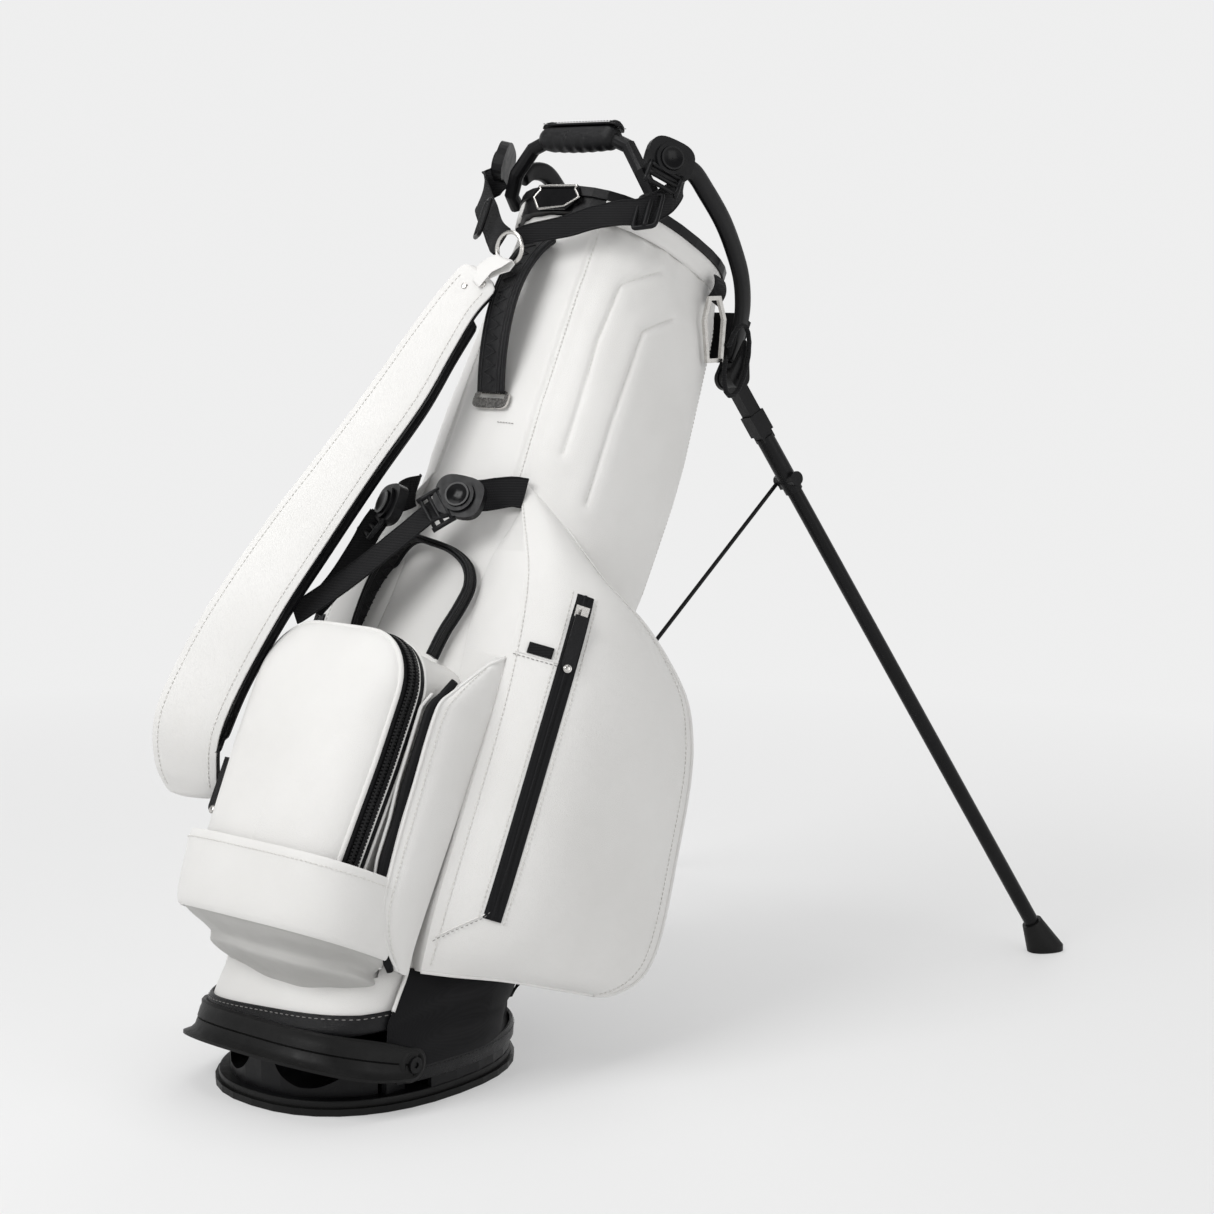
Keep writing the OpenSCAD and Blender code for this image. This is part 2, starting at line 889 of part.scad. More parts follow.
module strap_pad_inner() {
    color([0.85, 0.84, 0.82])
    bag() pad(1, len(pad_run) - 3, inner_pad_offset, inner_pad_trim);
}

module strap_ring() {
    color(STEEL)
    bag() translate([-139, 2, 718]) rotate([0, 70, 0])
        rotate_extrude($fn = fine) translate([15, 0]) circle(r = 2, $fn = 16);
}

// Webbing from the upper buckles round the collar's front to the strap ring
upper_near = [
    [-88, -105, 812], [-98, -102, 795], [-110, -88, 776], [-122, -60, 754], [-131, -36, 738], [-137, -20, 730]
];
upper_far = [
    [-88, 106, 812], [-98, 101, 795], [-107, 83, 777], [-116, 62, 760], [-126, 43, 744], [-136, 25, 731]
];

module upper_webbing() {
    color(BLACK)
    bag() {
        sweep(upper_near, flat_section(web_w, 2.4), [0, 0, 1]);
        sweep(upper_far, flat_section(web_w, 2.4), [0, 0, 1]);
    }
}

// Webbing from the trunk's front to the lower buckles, then down beside the front pocket
lower_anchors = [[-96, -52, 500], [-104, -47, 496], [-113, -42, 490]];
lower_anchors_far = [[-98, 58, 494], [-104, 60, 488], [-114, 60, 480]];
lower_near_tail = [[-138, -8, 461], [-147, 12, 430], [-160, 40, 387], [-174, 67, 350]];
lower_far_tail = [[-134, 60, 441], [-137, 62, 422], [-145, 67, 388], [-158, 75, 352]];

module lower_webbing() {
    color(BLACK)
    bag() {
        sweep(lower_anchors, flat_section(web_w, 2.4), [0, 0, 1]);
        sweep(lower_anchors_far, flat_section(web_w, 2.4), [0, 0, 1]);
        sweep(lower_near_tail, flat_section(web_w, 2.4), [0.3, 0.5, 1]);
        sweep(lower_far_tail, flat_section(web_w - 4, 2.4), [0.3, -0.9, 0.2]);
    }
}

module tri_glide() {
    difference() {
        cube([5, 26, 38], center = true);
        for (y = [-6.5, 6.5]) translate([0, y, 0]) cube([20, 7, 30], center = true);
    }
}

module tri_glides() {
    color(BLACK)
    bag() {
        translate([-108, -101, 787]) rotate([0, 0, 50]) tri_glide();
        translate([-129, 58, 754]) rotate([0, 0, -36]) tri_glide();
    }
}

// Turns a buckle's own frame so that its face looks outwards; z is the face's normal
module at_buckle(place, turn) {
    translate(place) rotate([0, 0, turn]) rotate([0, -90, 0]) children();
}

module buckle_case() {
    difference() {
        union() {
            translate([0, 0, -buckle_t / 2]) linear_extrude(buckle_t) polygon(oval(19, 23, 3, 32));
            translate([0, 0, buckle_t / 2]) cylinder(r = 15, h = 3, $fn = fine);
        }
        translate([0, 0, 1.5]) cylinder(r = button_r + 0.4, h = 20, $fn = fine);
    }
}

module buckle_housings() {
    color([0.07, 0.07, 0.075])
    bag() {
        both_sides() at_buckle(upper_buckle, upper_turn) buckle_case();
        at_buckle(lower_buckle, lower_turn) buckle_case();
        at_buckle(lower_buckle_far, -lower_turn) buckle_case();
    }
}

// The thumb button stands clear of its seat by its travel
module buckle_button() {
    translate([0, 0, 4.5])
    difference() {
        cylinder(r = button_r, h = button_t, $fn = fine);
        translate([0, 0, 26]) sphere(r = 23, $fn = 60);
    }
}

module button_upper_near() { color(BLACK) bag() at_buckle(upper_buckle, upper_turn) buckle_button(); }
module button_upper_far() { color(BLACK) mirror([0, 1, 0]) button_upper_near(); }
module button_lower_near() { color(BLACK) bag() at_buckle(lower_buckle, lower_turn) buckle_button(); }
module button_lower_far() { color(BLACK) bag() at_buckle(lower_buckle_far, -lower_turn) buckle_button(); }

// ---------- loops and clip ----------

module towel_loop() {
    color([0.1, 0.1, 0.1])
    bag() translate([42, -93, 766]) cube([20, 7, 26], center = true);
}

module towel_clip() {
    color(STEEL)
    bag() translate([48, -98.4, 728])
    rotate([90, -lean, 0])
    linear_extrude(3.2)
    difference() {
        polygon([[-9, 32], [9, 32], [17, 10], [12, -30], [-12, -30], [-17, 10]]);
        polygon([[-5.5, 28], [5.5, 28], [12.6, 10], [8.4, -26], [-8.4, -26], [-12.6, 10]]);
    }
}

module accessory_loop() {
    turns = 16;
    color([0.1, 0.1, 0.1])
    bag() sweep([
        for (k = [0:turns])
            let (t = -80 + 340 * k / turns)
            [88 + 17 * sin(t), -104 + 3 * cos(t), 716 + 36 * cos(t)]
    ], round_section(2.2, 8), [0, 1, 0]);
}

// ---------- assembly ----------

foot_sole();
foot_plate();
pivot_bolts();
base_frame();
front_band();
band_screws();
rear_gusset();
trunk_shell();
trunk_binding();
body_stays();
collar();
collar_dividers();
collar_badge();
collar_handle();
handle_grip();
hinge_housing();
hinge_pins();
hip_pad();
rod_guides();
trunk_handle();
handle_bracket();
lower_handle();
ball_pocket();
ball_cuff();
ball_zip();
side_pocket_near();
side_pocket_far();
front_panel();
side_zip_near();
side_zip_far();
strap_pad_outer();
strap_pad_inner();
upper_webbing();
lower_webbing();
tri_glides();
buckle_housings();
strap_ring();
towel_loop();
accessory_loop();
leg_bracket_near();
leg_bracket_far();
leg_tube_near();
leg_tube_far();
leg_shoe_near();
leg_shoe_far();
push_rod_near();
push_rod_far();
drive_yoke();
button_upper_near();
button_upper_far();
button_lower_near();
button_lower_far();
side_slider_near();
side_slider_far();
side_pull_near();
side_pull_far();
ball_slider();
ball_pull();
towel_clip();
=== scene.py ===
"""Looks of the golf stand bag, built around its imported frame. Metres, Z up, the frame's own axes."""
import json
import math

import bmesh
import bpy
import numpy as np
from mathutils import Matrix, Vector
from mathutils.bvhtree import BVHTree

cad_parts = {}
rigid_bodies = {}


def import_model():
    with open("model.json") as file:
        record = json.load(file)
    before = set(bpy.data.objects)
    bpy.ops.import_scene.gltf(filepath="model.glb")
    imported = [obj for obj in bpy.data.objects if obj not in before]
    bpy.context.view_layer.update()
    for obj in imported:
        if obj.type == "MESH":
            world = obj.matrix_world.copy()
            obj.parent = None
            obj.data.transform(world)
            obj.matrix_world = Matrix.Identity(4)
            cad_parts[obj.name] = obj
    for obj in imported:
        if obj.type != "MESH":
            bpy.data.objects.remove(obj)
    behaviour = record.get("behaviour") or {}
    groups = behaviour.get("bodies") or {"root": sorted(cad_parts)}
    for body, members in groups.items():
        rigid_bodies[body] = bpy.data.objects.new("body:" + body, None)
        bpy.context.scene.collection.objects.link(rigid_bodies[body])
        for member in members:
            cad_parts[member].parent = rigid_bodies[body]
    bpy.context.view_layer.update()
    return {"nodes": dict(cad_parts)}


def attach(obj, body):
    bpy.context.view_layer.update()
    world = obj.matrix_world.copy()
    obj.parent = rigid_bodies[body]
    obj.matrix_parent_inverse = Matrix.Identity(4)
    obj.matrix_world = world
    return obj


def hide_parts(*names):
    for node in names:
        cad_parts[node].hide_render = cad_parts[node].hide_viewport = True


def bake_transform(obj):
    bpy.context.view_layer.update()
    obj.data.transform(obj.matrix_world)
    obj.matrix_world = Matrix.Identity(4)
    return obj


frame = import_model()
NODES = frame["nodes"]

# ---------- the bag's own axes ----------
# n runs from the front pocket to the legs, y to the far side, s up the bag; all in millimetres.

LEAN = math.radians(27)
AXIS_X = -6.0
AXIS_Z = 14.0


def to_world(p):
    """Bag frame in mm to the row frame in metres."""
    p = np.asarray(p, float)
    n, y, s = p[..., 0], p[..., 1], p[..., 2]
    x = AXIS_X + n * math.cos(LEAN) + s * math.sin(LEAN)
    z = AXIS_Z - n * math.sin(LEAN) + s * math.cos(LEAN)
    return np.stack([x, y, z], -1) / 1000


def to_bag(p):
    """Row frame in metres to the bag frame in mm."""
    p = np.asarray(p, float) * 1000
    x, y, z = p[..., 0] - AXIS_X, p[..., 1], p[..., 2] - AXIS_Z
    n = x * math.cos(LEAN) - z * math.sin(LEAN)
    s = x * math.sin(LEAN) + z * math.cos(LEAN)
    return np.stack([n, y, s], -1)


def bag_dir(v):
    v = np.asarray(v, float)
    return to_world(v) - to_world(np.zeros(3))


def signed(x, e):
    """Signed power that turns a circle's coordinates into those of a superellipse."""
    return np.sign(x) * np.abs(x) ** (2 / e)


def signed1(x, power):
    return math.copysign(abs(x) ** power, x)


def link(name, data):
    o = bpy.data.objects.new(name, data)
    bpy.context.collection.objects.link(o)
    return o


def node_points(name):
    """Vertices of a CAD node, in the bag frame."""
    return to_bag(np.array([v.co for v in NODES[name].data.vertices]))


def evaluated(o):
    """The object's mesh with its modifiers applied."""
    return bpy.data.meshes.new_from_object(o.evaluated_get(bpy.context.evaluated_depsgraph_get()))


# ---------- materials ----------

WAVE_TURN = 6.283  # the wave texture runs through one band per turn
PALE_SHINE, DARK_SHINE = 0.42, 0.22


def new_material(name):
    m = bpy.data.materials.new(name)
    m.use_nodes = True
    t = m.node_tree
    t.nodes.clear()
    out = t.nodes.new("ShaderNodeOutputMaterial")
    shader = t.nodes.new("ShaderNodeBsdfPrincipled")
    t.links.new(shader.outputs[0], out.inputs[0])
    return m, t, shader


def coords(t, stretch=(1, 1, 1)):
    tex = t.nodes.new("ShaderNodeTexCoord")
    mapping = t.nodes.new("ShaderNodeMapping")
    mapping.inputs["Scale"].default_value = stretch
    t.links.new(tex.outputs["Object"], mapping.inputs[0])
    return mapping.outputs[0]


def noise(t, vec, scale, detail=2.0, rough=0.5):
    n = t.nodes.new("ShaderNodeTexNoise")
    n.inputs["Scale"].default_value = scale
    n.inputs["Detail"].default_value = detail
    n.inputs["Roughness"].default_value = rough
    t.links.new(vec, n.inputs["Vector"])
    return n.outputs["Fac"]


def voronoi(t, vec, scale, feature="DISTANCE_TO_EDGE"):
    v = t.nodes.new("ShaderNodeTexVoronoi")
    v.feature = feature
    v.inputs["Scale"].default_value = scale
    t.links.new(vec, v.inputs["Vector"])
    return v.outputs["Distance"]


def wave(t, vec, scale, axis="Z", distortion=0.0):
    w = t.nodes.new("ShaderNodeTexWave")
    w.bands_direction = axis
    w.inputs["Scale"].default_value = scale
    w.inputs["Distortion"].default_value = distortion
    t.links.new(vec, w.inputs["Vector"])
    return w.outputs["Fac"]


def ramp(t, fac, stops):
    r = t.nodes.new("ShaderNodeValToRGB")
    while len(r.color_ramp.elements) < len(stops):
        r.color_ramp.elements.new(0.5)
    for e, (pos, col) in zip(r.color_ramp.elements, stops):
        e.position = pos
        e.color = (*col, 1) if len(col) == 3 else col
    t.links.new(fac, r.inputs[0])
    return r.outputs[0]


def remap(t, fac, low, high, start=0.0, end=1.0):
    r = t.nodes.new("ShaderNodeMapRange")
    r.inputs["From Min"].default_value = start
    r.inputs["From Max"].default_value = end
    r.inputs["To Min"].default_value = low
    r.inputs["To Max"].default_value = high
    t.links.new(fac, r.inputs[0])
    return r.outputs[0]


def bump(t, height, depth, strength=1.0, under=None):
    b = t.nodes.new("ShaderNodeBump")
    b.inputs["Strength"].default_value = strength
    b.inputs["Distance"].default_value = depth
    t.links.new(height, b.inputs["Height"])
    if under is not None:
        t.links.new(under, b.inputs["Normal"])
    return b.outputs[0]


def mixed(t, a, b, fac):
    """Two greys mixed, by the share of the second."""
    m = t.nodes.new("ShaderNodeMix")
    m.data_type = "FLOAT"
    m.inputs[0].default_value = fac
    t.links.new(a, m.inputs[2])
    t.links.new(b, m.inputs[3])
    return m.outputs[0]


def leather(name, dark, light, rough, grain=900, depth=0.00022):
    m, t, s = new_material(name)
    v = coords(t)
    cells = remap(t, voronoi(t, v, grain), 0, 1, 0, 0.35)
    fine = noise(t, v, grain * 2.4, 3)
    broad = noise(t, v, 9, 3, 0.6)
    t.links.new(ramp(t, broad, [(0.3, dark), (0.7, light)]), s.inputs["Base Color"])
    worn = remap(t, noise(t, v, 60, 4), rough - 0.07, rough + 0.07, 0.3, 0.7)
    t.links.new(worn, s.inputs["Roughness"])
    first = bump(t, cells, depth, 0.55)
    second = bump(t, fine, depth * 0.5, 0.35, first)
    t.links.new(bump(t, noise(t, v, 34, 2), 0.0012, 0.22, second), s.inputs["Normal"])
    s.inputs["Specular IOR Level"].default_value = PALE_SHINE if dark[0] > 0.1 else DARK_SHINE
    return m


def moulded(name, dark, light, rough, grain=1400, depth=0.00012, metal=0.0):
    m, t, s = new_material(name)
    v = coords(t)
    t.links.new(ramp(t, noise(t, v, 22, 4, 0.65), [(0.3, dark), (0.75, light)]), s.inputs["Base Color"])
    t.links.new(remap(t, noise(t, v, 95, 5, 0.7), rough - 0.1, rough + 0.12, 0.3, 0.75), s.inputs["Roughness"])
    s.inputs["Metallic"].default_value = metal
    s.inputs["Specular IOR Level"].default_value = 0.18
    base = bump(t, noise(t, v, grain, 3, 0.6), depth, 0.5)
    t.links.new(bump(t, noise(t, v, 300, 2), depth * 1.6, 0.2, base), s.inputs["Normal"])
    return m


def metal(name, dark, light, rough):
    m, t, s = new_material(name)
    v = coords(t)
    t.links.new(ramp(t, noise(t, v, 160, 4, 0.6), [(0.25, dark), (0.7, light)]), s.inputs["Base Color"])
    t.links.new(remap(t, noise(t, v, 420, 5, 0.7), rough - 0.06, rough + 0.12, 0.3, 0.8), s.inputs["Roughness"])
    s.inputs["Metallic"].default_value = 1.0
    streak = noise(t, coords(t, (1, 1, 14)), 500, 2)
    t.links.new(bump(t, streak, 0.00004, 0.4), s.inputs["Normal"])
    return m


def woven(name, dark, light, rough, along, across, depth, sheen=0.04):
    m, t, s = new_material(name)
    v = coords(t)
    warp = wave(t, v, along / WAVE_TURN, "Z", 0.4)
    weft = wave(t, v, across / WAVE_TURN, "Y", 0.4)
    cloth = mixed(t, warp, weft, 0.45)
    fibre = noise(t, v, 1800, 3, 0.7)
    t.links.new(ramp(t, mixed(t, cloth, fibre, 0.4), [(0.25, dark), (0.75, light)]), s.inputs["Base Color"])
    t.links.new(remap(t, fibre, rough - 0.08, rough + 0.1, 0.3, 0.7), s.inputs["Roughness"])
    first = bump(t, cloth, depth, 0.7)
    t.links.new(bump(t, fibre, depth * 0.4, 0.4, first), s.inputs["Normal"])
    s.inputs["Sheen Weight"].default_value = sheen
    s.inputs["Sheen Roughness"].default_value = 0.5
    s.inputs["Specular IOR Level"].default_value = 0.14
    return m


WHITE = leather("white_grain_leather", (0.70, 0.692, 0.675), (0.74, 0.733, 0.718), 0.52)
# A darker copy of the white leather: painted shade for the gusset in the shadow under the cuff, not a grey leather
WHITE_PAINTED_SHADE = leather("white_leather_painted_shade", (0.44, 0.435, 0.42), (0.50, 0.495, 0.48), 0.55)
BLACK_HIDE = leather("black_grain_leather", (0.004, 0.004, 0.0045), (0.008, 0.008, 0.009), 0.34, 760, 0.0003)
PLASTIC = moulded("black_moulded_plastic", (0.004, 0.004, 0.0045), (0.007, 0.007, 0.0078), 0.38)
GLOSS = moulded("black_gloss_plastic", (0.0035, 0.0035, 0.004), (0.006, 0.006, 0.0066), 0.2, 1800, 0.00004)
RUBBER = moulded("black_rubber", (0.0045, 0.0045, 0.0045), (0.009, 0.009, 0.009), 0.46, 900, 0.0002)
BLACK_METAL = moulded("black_painted_metal", (0.005, 0.005, 0.0055), (0.009, 0.009, 0.0095), 0.32,
                      1600, 0.00005, 0.2)
STEEL = metal("satin_nickel", (0.50, 0.485, 0.465), (0.68, 0.665, 0.64), 0.24)
WEB = woven("black_webbing", (0.003, 0.003, 0.0035), (0.012, 0.012, 0.013), 0.72, 900, 2600, 0.0005)
FABRIC = woven("black_fabric", (0.004, 0.004, 0.0045), (0.008, 0.008, 0.009), 0.78, 2600, 2600, 0.0001)
LINING = woven("black_lining", (0.005, 0.005, 0.006), (0.012, 0.012, 0.013), 0.7, 2400, 2400, 0.0002)
ZIP_TAPE = woven("zip_tape", (0.003, 0.003, 0.0035), (0.008, 0.008, 0.009), 0.55, 1900, 900, 0.0002, sheen=0.02)
ZIP_TEETH = moulded("zip_teeth", (0.006, 0.006, 0.0065), (0.012, 0.012, 0.013), 0.3, 1500, 0.00006)
THREAD = woven("white_thread", (0.60, 0.59, 0.56), (0.78, 0.77, 0.74), 0.6, 5200, 900, 0.0001)
DARK_THREAD = woven("black_thread", (0.008, 0.008, 0.009), (0.03, 0.03, 0.031), 0.6, 5200, 900, 0.0001)
GREY_THREAD = woven("grey_thread", (0.22, 0.215, 0.205), (0.34, 0.33, 0.32), 0.6, 5200, 900, 0.0001)
LOOP_PILE = woven("fuzzy_pile", (0.004, 0.004, 0.0045), (0.014, 0.014, 0.015), 0.95, 1100, 1300, 0.0011, sheen=0.1)

# The slot that goes with each look; the threads have none
SLOTS = {
    WHITE: "white_leather", WHITE_PAINTED_SHADE: "white_leather", BLACK_HIDE: "black_leather", PLASTIC: "black_plastic",
    RUBBER: "rubber", STEEL: "steel", BLACK_METAL: "black_metal", WEB: "webbing", LOOP_PILE: "webbing",
    ZIP_TAPE: "zip_black", ZIP_TEETH: "zip_black", FABRIC: "black_fabric",
}
CAD_LOOK = {
    RUBBER: "foot_sole front_band leg_shoe_near leg_shoe_far",
    PLASTIC: "foot_plate base_frame collar collar_handle hinge_housing rod_guides tri_glides buckle_housings"
             " leg_bracket_near leg_bracket_far",
    BLACK_METAL: "pivot_bolts band_screws body_stays hinge_pins leg_tube_near leg_tube_far"
                 " push_rod_near push_rod_far drive_yoke",
    FABRIC: "rear_gusset hip_pad",
    WHITE: "trunk_shell ball_pocket ball_cuff side_pocket_near side_pocket_far front_panel strap_pad_outer",
    BLACK_HIDE: "trunk_binding handle_grip trunk_handle lower_handle strap_pad_inner"
                " side_pull_near side_pull_far ball_pull",
    LINING: "collar_dividers",
    GLOSS: "collar_badge button_upper_near button_upper_far button_lower_near button_lower_far",
    STEEL: "handle_bracket strap_ring side_slider_near side_slider_far ball_slider towel_clip",
    ZIP_TAPE: "ball_zip side_zip_near side_zip_far",
    WEB: "upper_webbing lower_webbing accessory_loop",
    LOOP_PILE: "towel_loop",
}
for look, node_names in CAD_LOOK.items():
    for node_name in node_names.split():
        node = NODES[node_name]
        node.data.materials.clear()
        node.data.materials.append(look)
        for poly in node.data.polygons:
            poly.material_index = 0

# ---------- camera, floor and light ----------

def aim(obj, target):
    obj.rotation_euler = (Vector(target) - obj.location).to_track_quat("-Z", "Y").to_euler()


CAM_TURN = math.radians(40.073)
CAM_RISE = math.radians(8.266)
CAM_FAR = 2.4624
LOOK_AT = (0.3308, 0.0, 0.3743)
camera = link("camera", bpy.data.cameras.new("camera"))
camera.location = (
    LOOK_AT[0] - CAM_FAR * math.cos(CAM_TURN) * math.cos(CAM_RISE),
    -CAM_FAR * math.sin(CAM_TURN) * math.cos(CAM_RISE),
    LOOK_AT[2] + CAM_FAR * math.sin(CAM_RISE),
)
aim(camera, LOOK_AT)
camera.data.sensor_width = 36
camera.data.lens = 75.74
bpy.context.scene.camera = camera


def area_light(name, place, target, size, power):
    data = bpy.data.lights.new(name, "AREA")
    data.shape = "RECTANGLE"
    data.size, data.size_y = size
    data.energy = power
    lamp = link(name, data)
    lamp.location = place
    aim(lamp, target)


area_light("key", (-2.2, 0.3, 2.4), (0.1, 0, 0.35), (1.6, 1.4), 56)
area_light("top", (0.2, 0.3, 3.2), (0.2, 0, 0.2), (2.2, 2.2), 34)
area_light("fill", (0.2, -3.0, 1.4), (0.2, 0, 0.4), (2.0, 1.8), 16)
area_light("rim", (2.4, 1.4, 1.8), (0.2, 0, 0.4), (1.4, 1.6), 12)

BACKDROP = 0.86
world = bpy.data.worlds.new("studio")
world.use_nodes = True
sky = world.node_tree
sky_dir = sky.nodes.new("ShaderNodeTexCoord")
sky_z = sky.nodes.new("ShaderNodeSeparateXYZ")
sky.links.new(sky_dir.outputs["Generated"], sky_z.inputs[0])
sky_tone = sky.nodes.new("ShaderNodeMapRange")
for socket, value in (("From Min", 0.16), ("From Max", 0.5), ("To Min", 1.0), ("To Max", 0.3)):
    sky_tone.inputs[socket].default_value = value
sky.links.new(sky_z.outputs[2], sky_tone.inputs[0])
sky.links.new(sky_tone.outputs[0], sky.nodes["Background"].inputs[0])
sky.nodes["Background"].inputs[1].default_value = BACKDROP
bpy.context.scene.world = world
bpy.context.scene.view_settings.view_transform = "Standard"


def floor():
    """A flat pale sheet that fades into an even glow away from the bag."""
    m, t, s = new_material("studio_floor")
    s.inputs["Base Color"].default_value = (0.80, 0.80, 0.80, 1)
    t.links.new(remap(t, noise(t, coords(t), 3, 2), 0.7, 0.85), s.inputs["Roughness"])
    s.inputs["Specular IOR Level"].default_value = 0.1
    far = t.nodes.new("ShaderNodeVectorMath")
    far.operation = "LENGTH"
    t.links.new(coords(t), far.inputs[0])
    glow = t.nodes.new("ShaderNodeEmission")
    glow.inputs[0].default_value = (1, 1, 1, 1)
    glow.inputs[1].default_value = BACKDROP
    blend = t.nodes.new("ShaderNodeMixShader")
    t.links.new(remap(t, far.outputs[1], 0.42, 1, 0.7, 2.0), blend.inputs[0])
    t.links.new(s.outputs[0], blend.inputs[1])
    t.links.new(glow.outputs[0], blend.inputs[2])
    t.links.new(blend.outputs[0], t.nodes["Material Output"].inputs[0])
    mesh = bpy.data.meshes.new("floor")
    bm = bmesh.new()
    bmesh.ops.create_grid(bm, x_segments=40, y_segments=40, size=30)
    bm.to_mesh(mesh)
    bm.free()
    mesh.materials.append(m)
    o = link("floor", mesh)
    o.location = (0, 0, -0.0005)


floor()


# ---------- building blocks ----------

def unit(v):
    v = np.asarray(v, float)
    return v / np.maximum(np.linalg.norm(v, axis=-1, keepdims=True), 1e-12)


def piece(name, verts, faces, look, body="bag", slot=None, replace=(), sharp=None, world=False):
    """A mesh from points of the bag frame in mm (or of the row frame in metres, with world).

    The slot is worked out, from the look unless one is given, but not used.
    """
    mesh = bpy.data.meshes.new(name)
    points = np.asarray(verts, float)
    if not world:
        points = to_world(points)
    mesh.from_pydata([tuple(p) for p in points], [], [tuple(int(i) for i in f) for f in faces])
    mesh.validate()
    bm = bmesh.new()
    bm.from_mesh(mesh)
    bmesh.ops.recalc_face_normals(bm, faces=bm.faces)
    bm.to_mesh(mesh)
    bm.free()
    looks = look if isinstance(look, list) else [look]
    for one in looks:
        mesh.materials.append(one)
    for poly in mesh.polygons:
        poly.use_smooth = True
    if sharp is not None:
        mesh.set_sharp_from_angle(angle=math.radians(sharp))
    o = link(name, mesh)
    slot = slot or SLOTS.get(looks[0])
    if body:
        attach(o, body)
    if replace:
        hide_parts(*replace)
    return o


def grid_faces(rows, cols, wrap_cols=False, wrap_rows=False, flip=False, start=0):
    out = []
    for i in range(rows if wrap_rows else rows - 1):
        for j in range(cols if wrap_cols else cols - 1):
            a = start + i * cols + j
            b = start + i * cols + (j + 1) % cols
            c = start + ((i + 1) % rows) * cols + (j + 1) % cols
            d = start + ((i + 1) % rows) * cols + j
            out.append((a, d, c, b) if flip else (a, b, c, d))
    return out


def spline(points, step):
    """Catmull-Rom curve through the points, resampled at an even step in mm."""
    p = np.asarray(points, float)
    if len(p) == 2:
        q = p
    else:
        e = np.vstack([2 * p[0] - p[1], p, 2 * p[-1] - p[-2]])
        t = np.linspace(0, 1, 17)[:-1, None]
        bits = []
        for i in range(1, len(e) - 2):
            a, b, c, d = e[i - 1], e[i], e[i + 1], e[i + 2]
            bits.append(0.5 * (2 * b + (c - a) * t + (2 * a - 5 * b + 4 * c - d) * t ** 2
                               + (3 * b - a - 3 * c + d) * t ** 3))
        q = np.vstack(bits + [p[-1:]])
    return even(q, step)


def even(q, step):
    d = np.r_[0, np.cumsum(np.linalg.norm(np.diff(q[:, :3], axis=0), axis=1))]
    n = max(2, int(round(d[-1] / step)) + 1)
    at = np.linspace(0, d[-1], n)
    return np.stack([np.interp(at, d, q[:, k]) for k in range(q.shape[1])], 1)


def tangents(path):
    return unit(np.gradient(path, axis=0))


def frames(path, hint):
    """Tangent, side (nearest to the hint) and up at each point of a path."""
    t = tangents(path)
    h = np.broadcast_to(np.asarray(hint, float), path.shape)
    side = unit(h - t * np.sum(h * t, 1, keepdims=True))
    return t, side, np.cross(side, t)


def loft(name, rings, look, caps=True, close=False, **kw):
    """Closed solid through rings of equal length; each ring is an (m, 3) array."""
    rings = np.asarray(rings, float)
    rows, cols = rings.shape[:2]
    verts = rings.reshape(-1, 3)
    faces = grid_faces(rows, cols, wrap_cols=True, wrap_rows=close)
    if caps and not close:
        faces.append(tuple(range(cols)))
        faces.append(tuple(reversed(range((rows - 1) * cols, rows * cols))))
    return piece(name, verts, faces, look, **kw)


def tube(name, path, radius, look, sides=8, close=False, **kw):
    path = np.asarray(path, float)
    upright = abs(tangents(path)[:, 2]).mean() >= 0.9
    hint = np.array([1.0, 0.2, 0.1]) if upright else np.array([0.31, 0.17, 0.93])
    if close:
        t = unit(np.roll(path, -1, 0) - np.roll(path, 1, 0))
        side = unit(hint - t * np.sum(hint * t, 1, keepdims=True))
        up = np.cross(side, t)
    else:
        t, side, up = frames(path, hint)
    r = np.broadcast_to(np.asarray(radius, float), (len(path),))
    a = np.linspace(0, 2 * math.pi, sides, endpoint=False)
    spokes = side[:, None] * np.cos(a)[None, :, None] + up[:, None] * np.sin(a)[None, :, None]
    rings = path[:, None] + spokes * r[:, None, None]
    return loft(name, rings, look, close=close, **kw)


def strap(name, path, width, thick, hint, look, crown=0.0, step=5, round_edge=0.45, **kw):
    """A flat band along a path: width and thickness may change along it, crown swells its middle."""
    path = np.asarray(path, float)
    data = np.column_stack([path, np.broadcast_to(np.asarray(width, float), len(path)),
                            np.broadcast_to(np.asarray(thick, float), len(path))])
    data = spline(data, step)
    p, w, th = data[:, :3], data[:, 3], data[:, 4]
    _, side, up = frames(p, hint)
    across = np.array([-1, -0.97, -0.88, -0.7, -0.45, -0.2, 0.2, 0.45, 0.7, 0.88, 0.97, 1])
    lift = np.sqrt(np.clip(1 - np.abs(across) ** (2 / round_edge), 0, 1))
    swell = 1 + crown * (1 - across ** 2)
    top = np.stack([across / 2, lift * swell / 2], 1)
    low = np.stack([across[::-1][1:-1] / 2, -(lift * swell)[::-1][1:-1] / 2], 1)
    sec = np.vstack([top, low])
    rings = (p[:, None] + side[:, None] * (sec[None, :, 0:1] * w[:, None, None])
             + up[:, None] * (sec[None, :, 1:2] * th[:, None, None]))
    o = loft(name, rings, look, **kw)
    return o, (p, side, up, w, th)


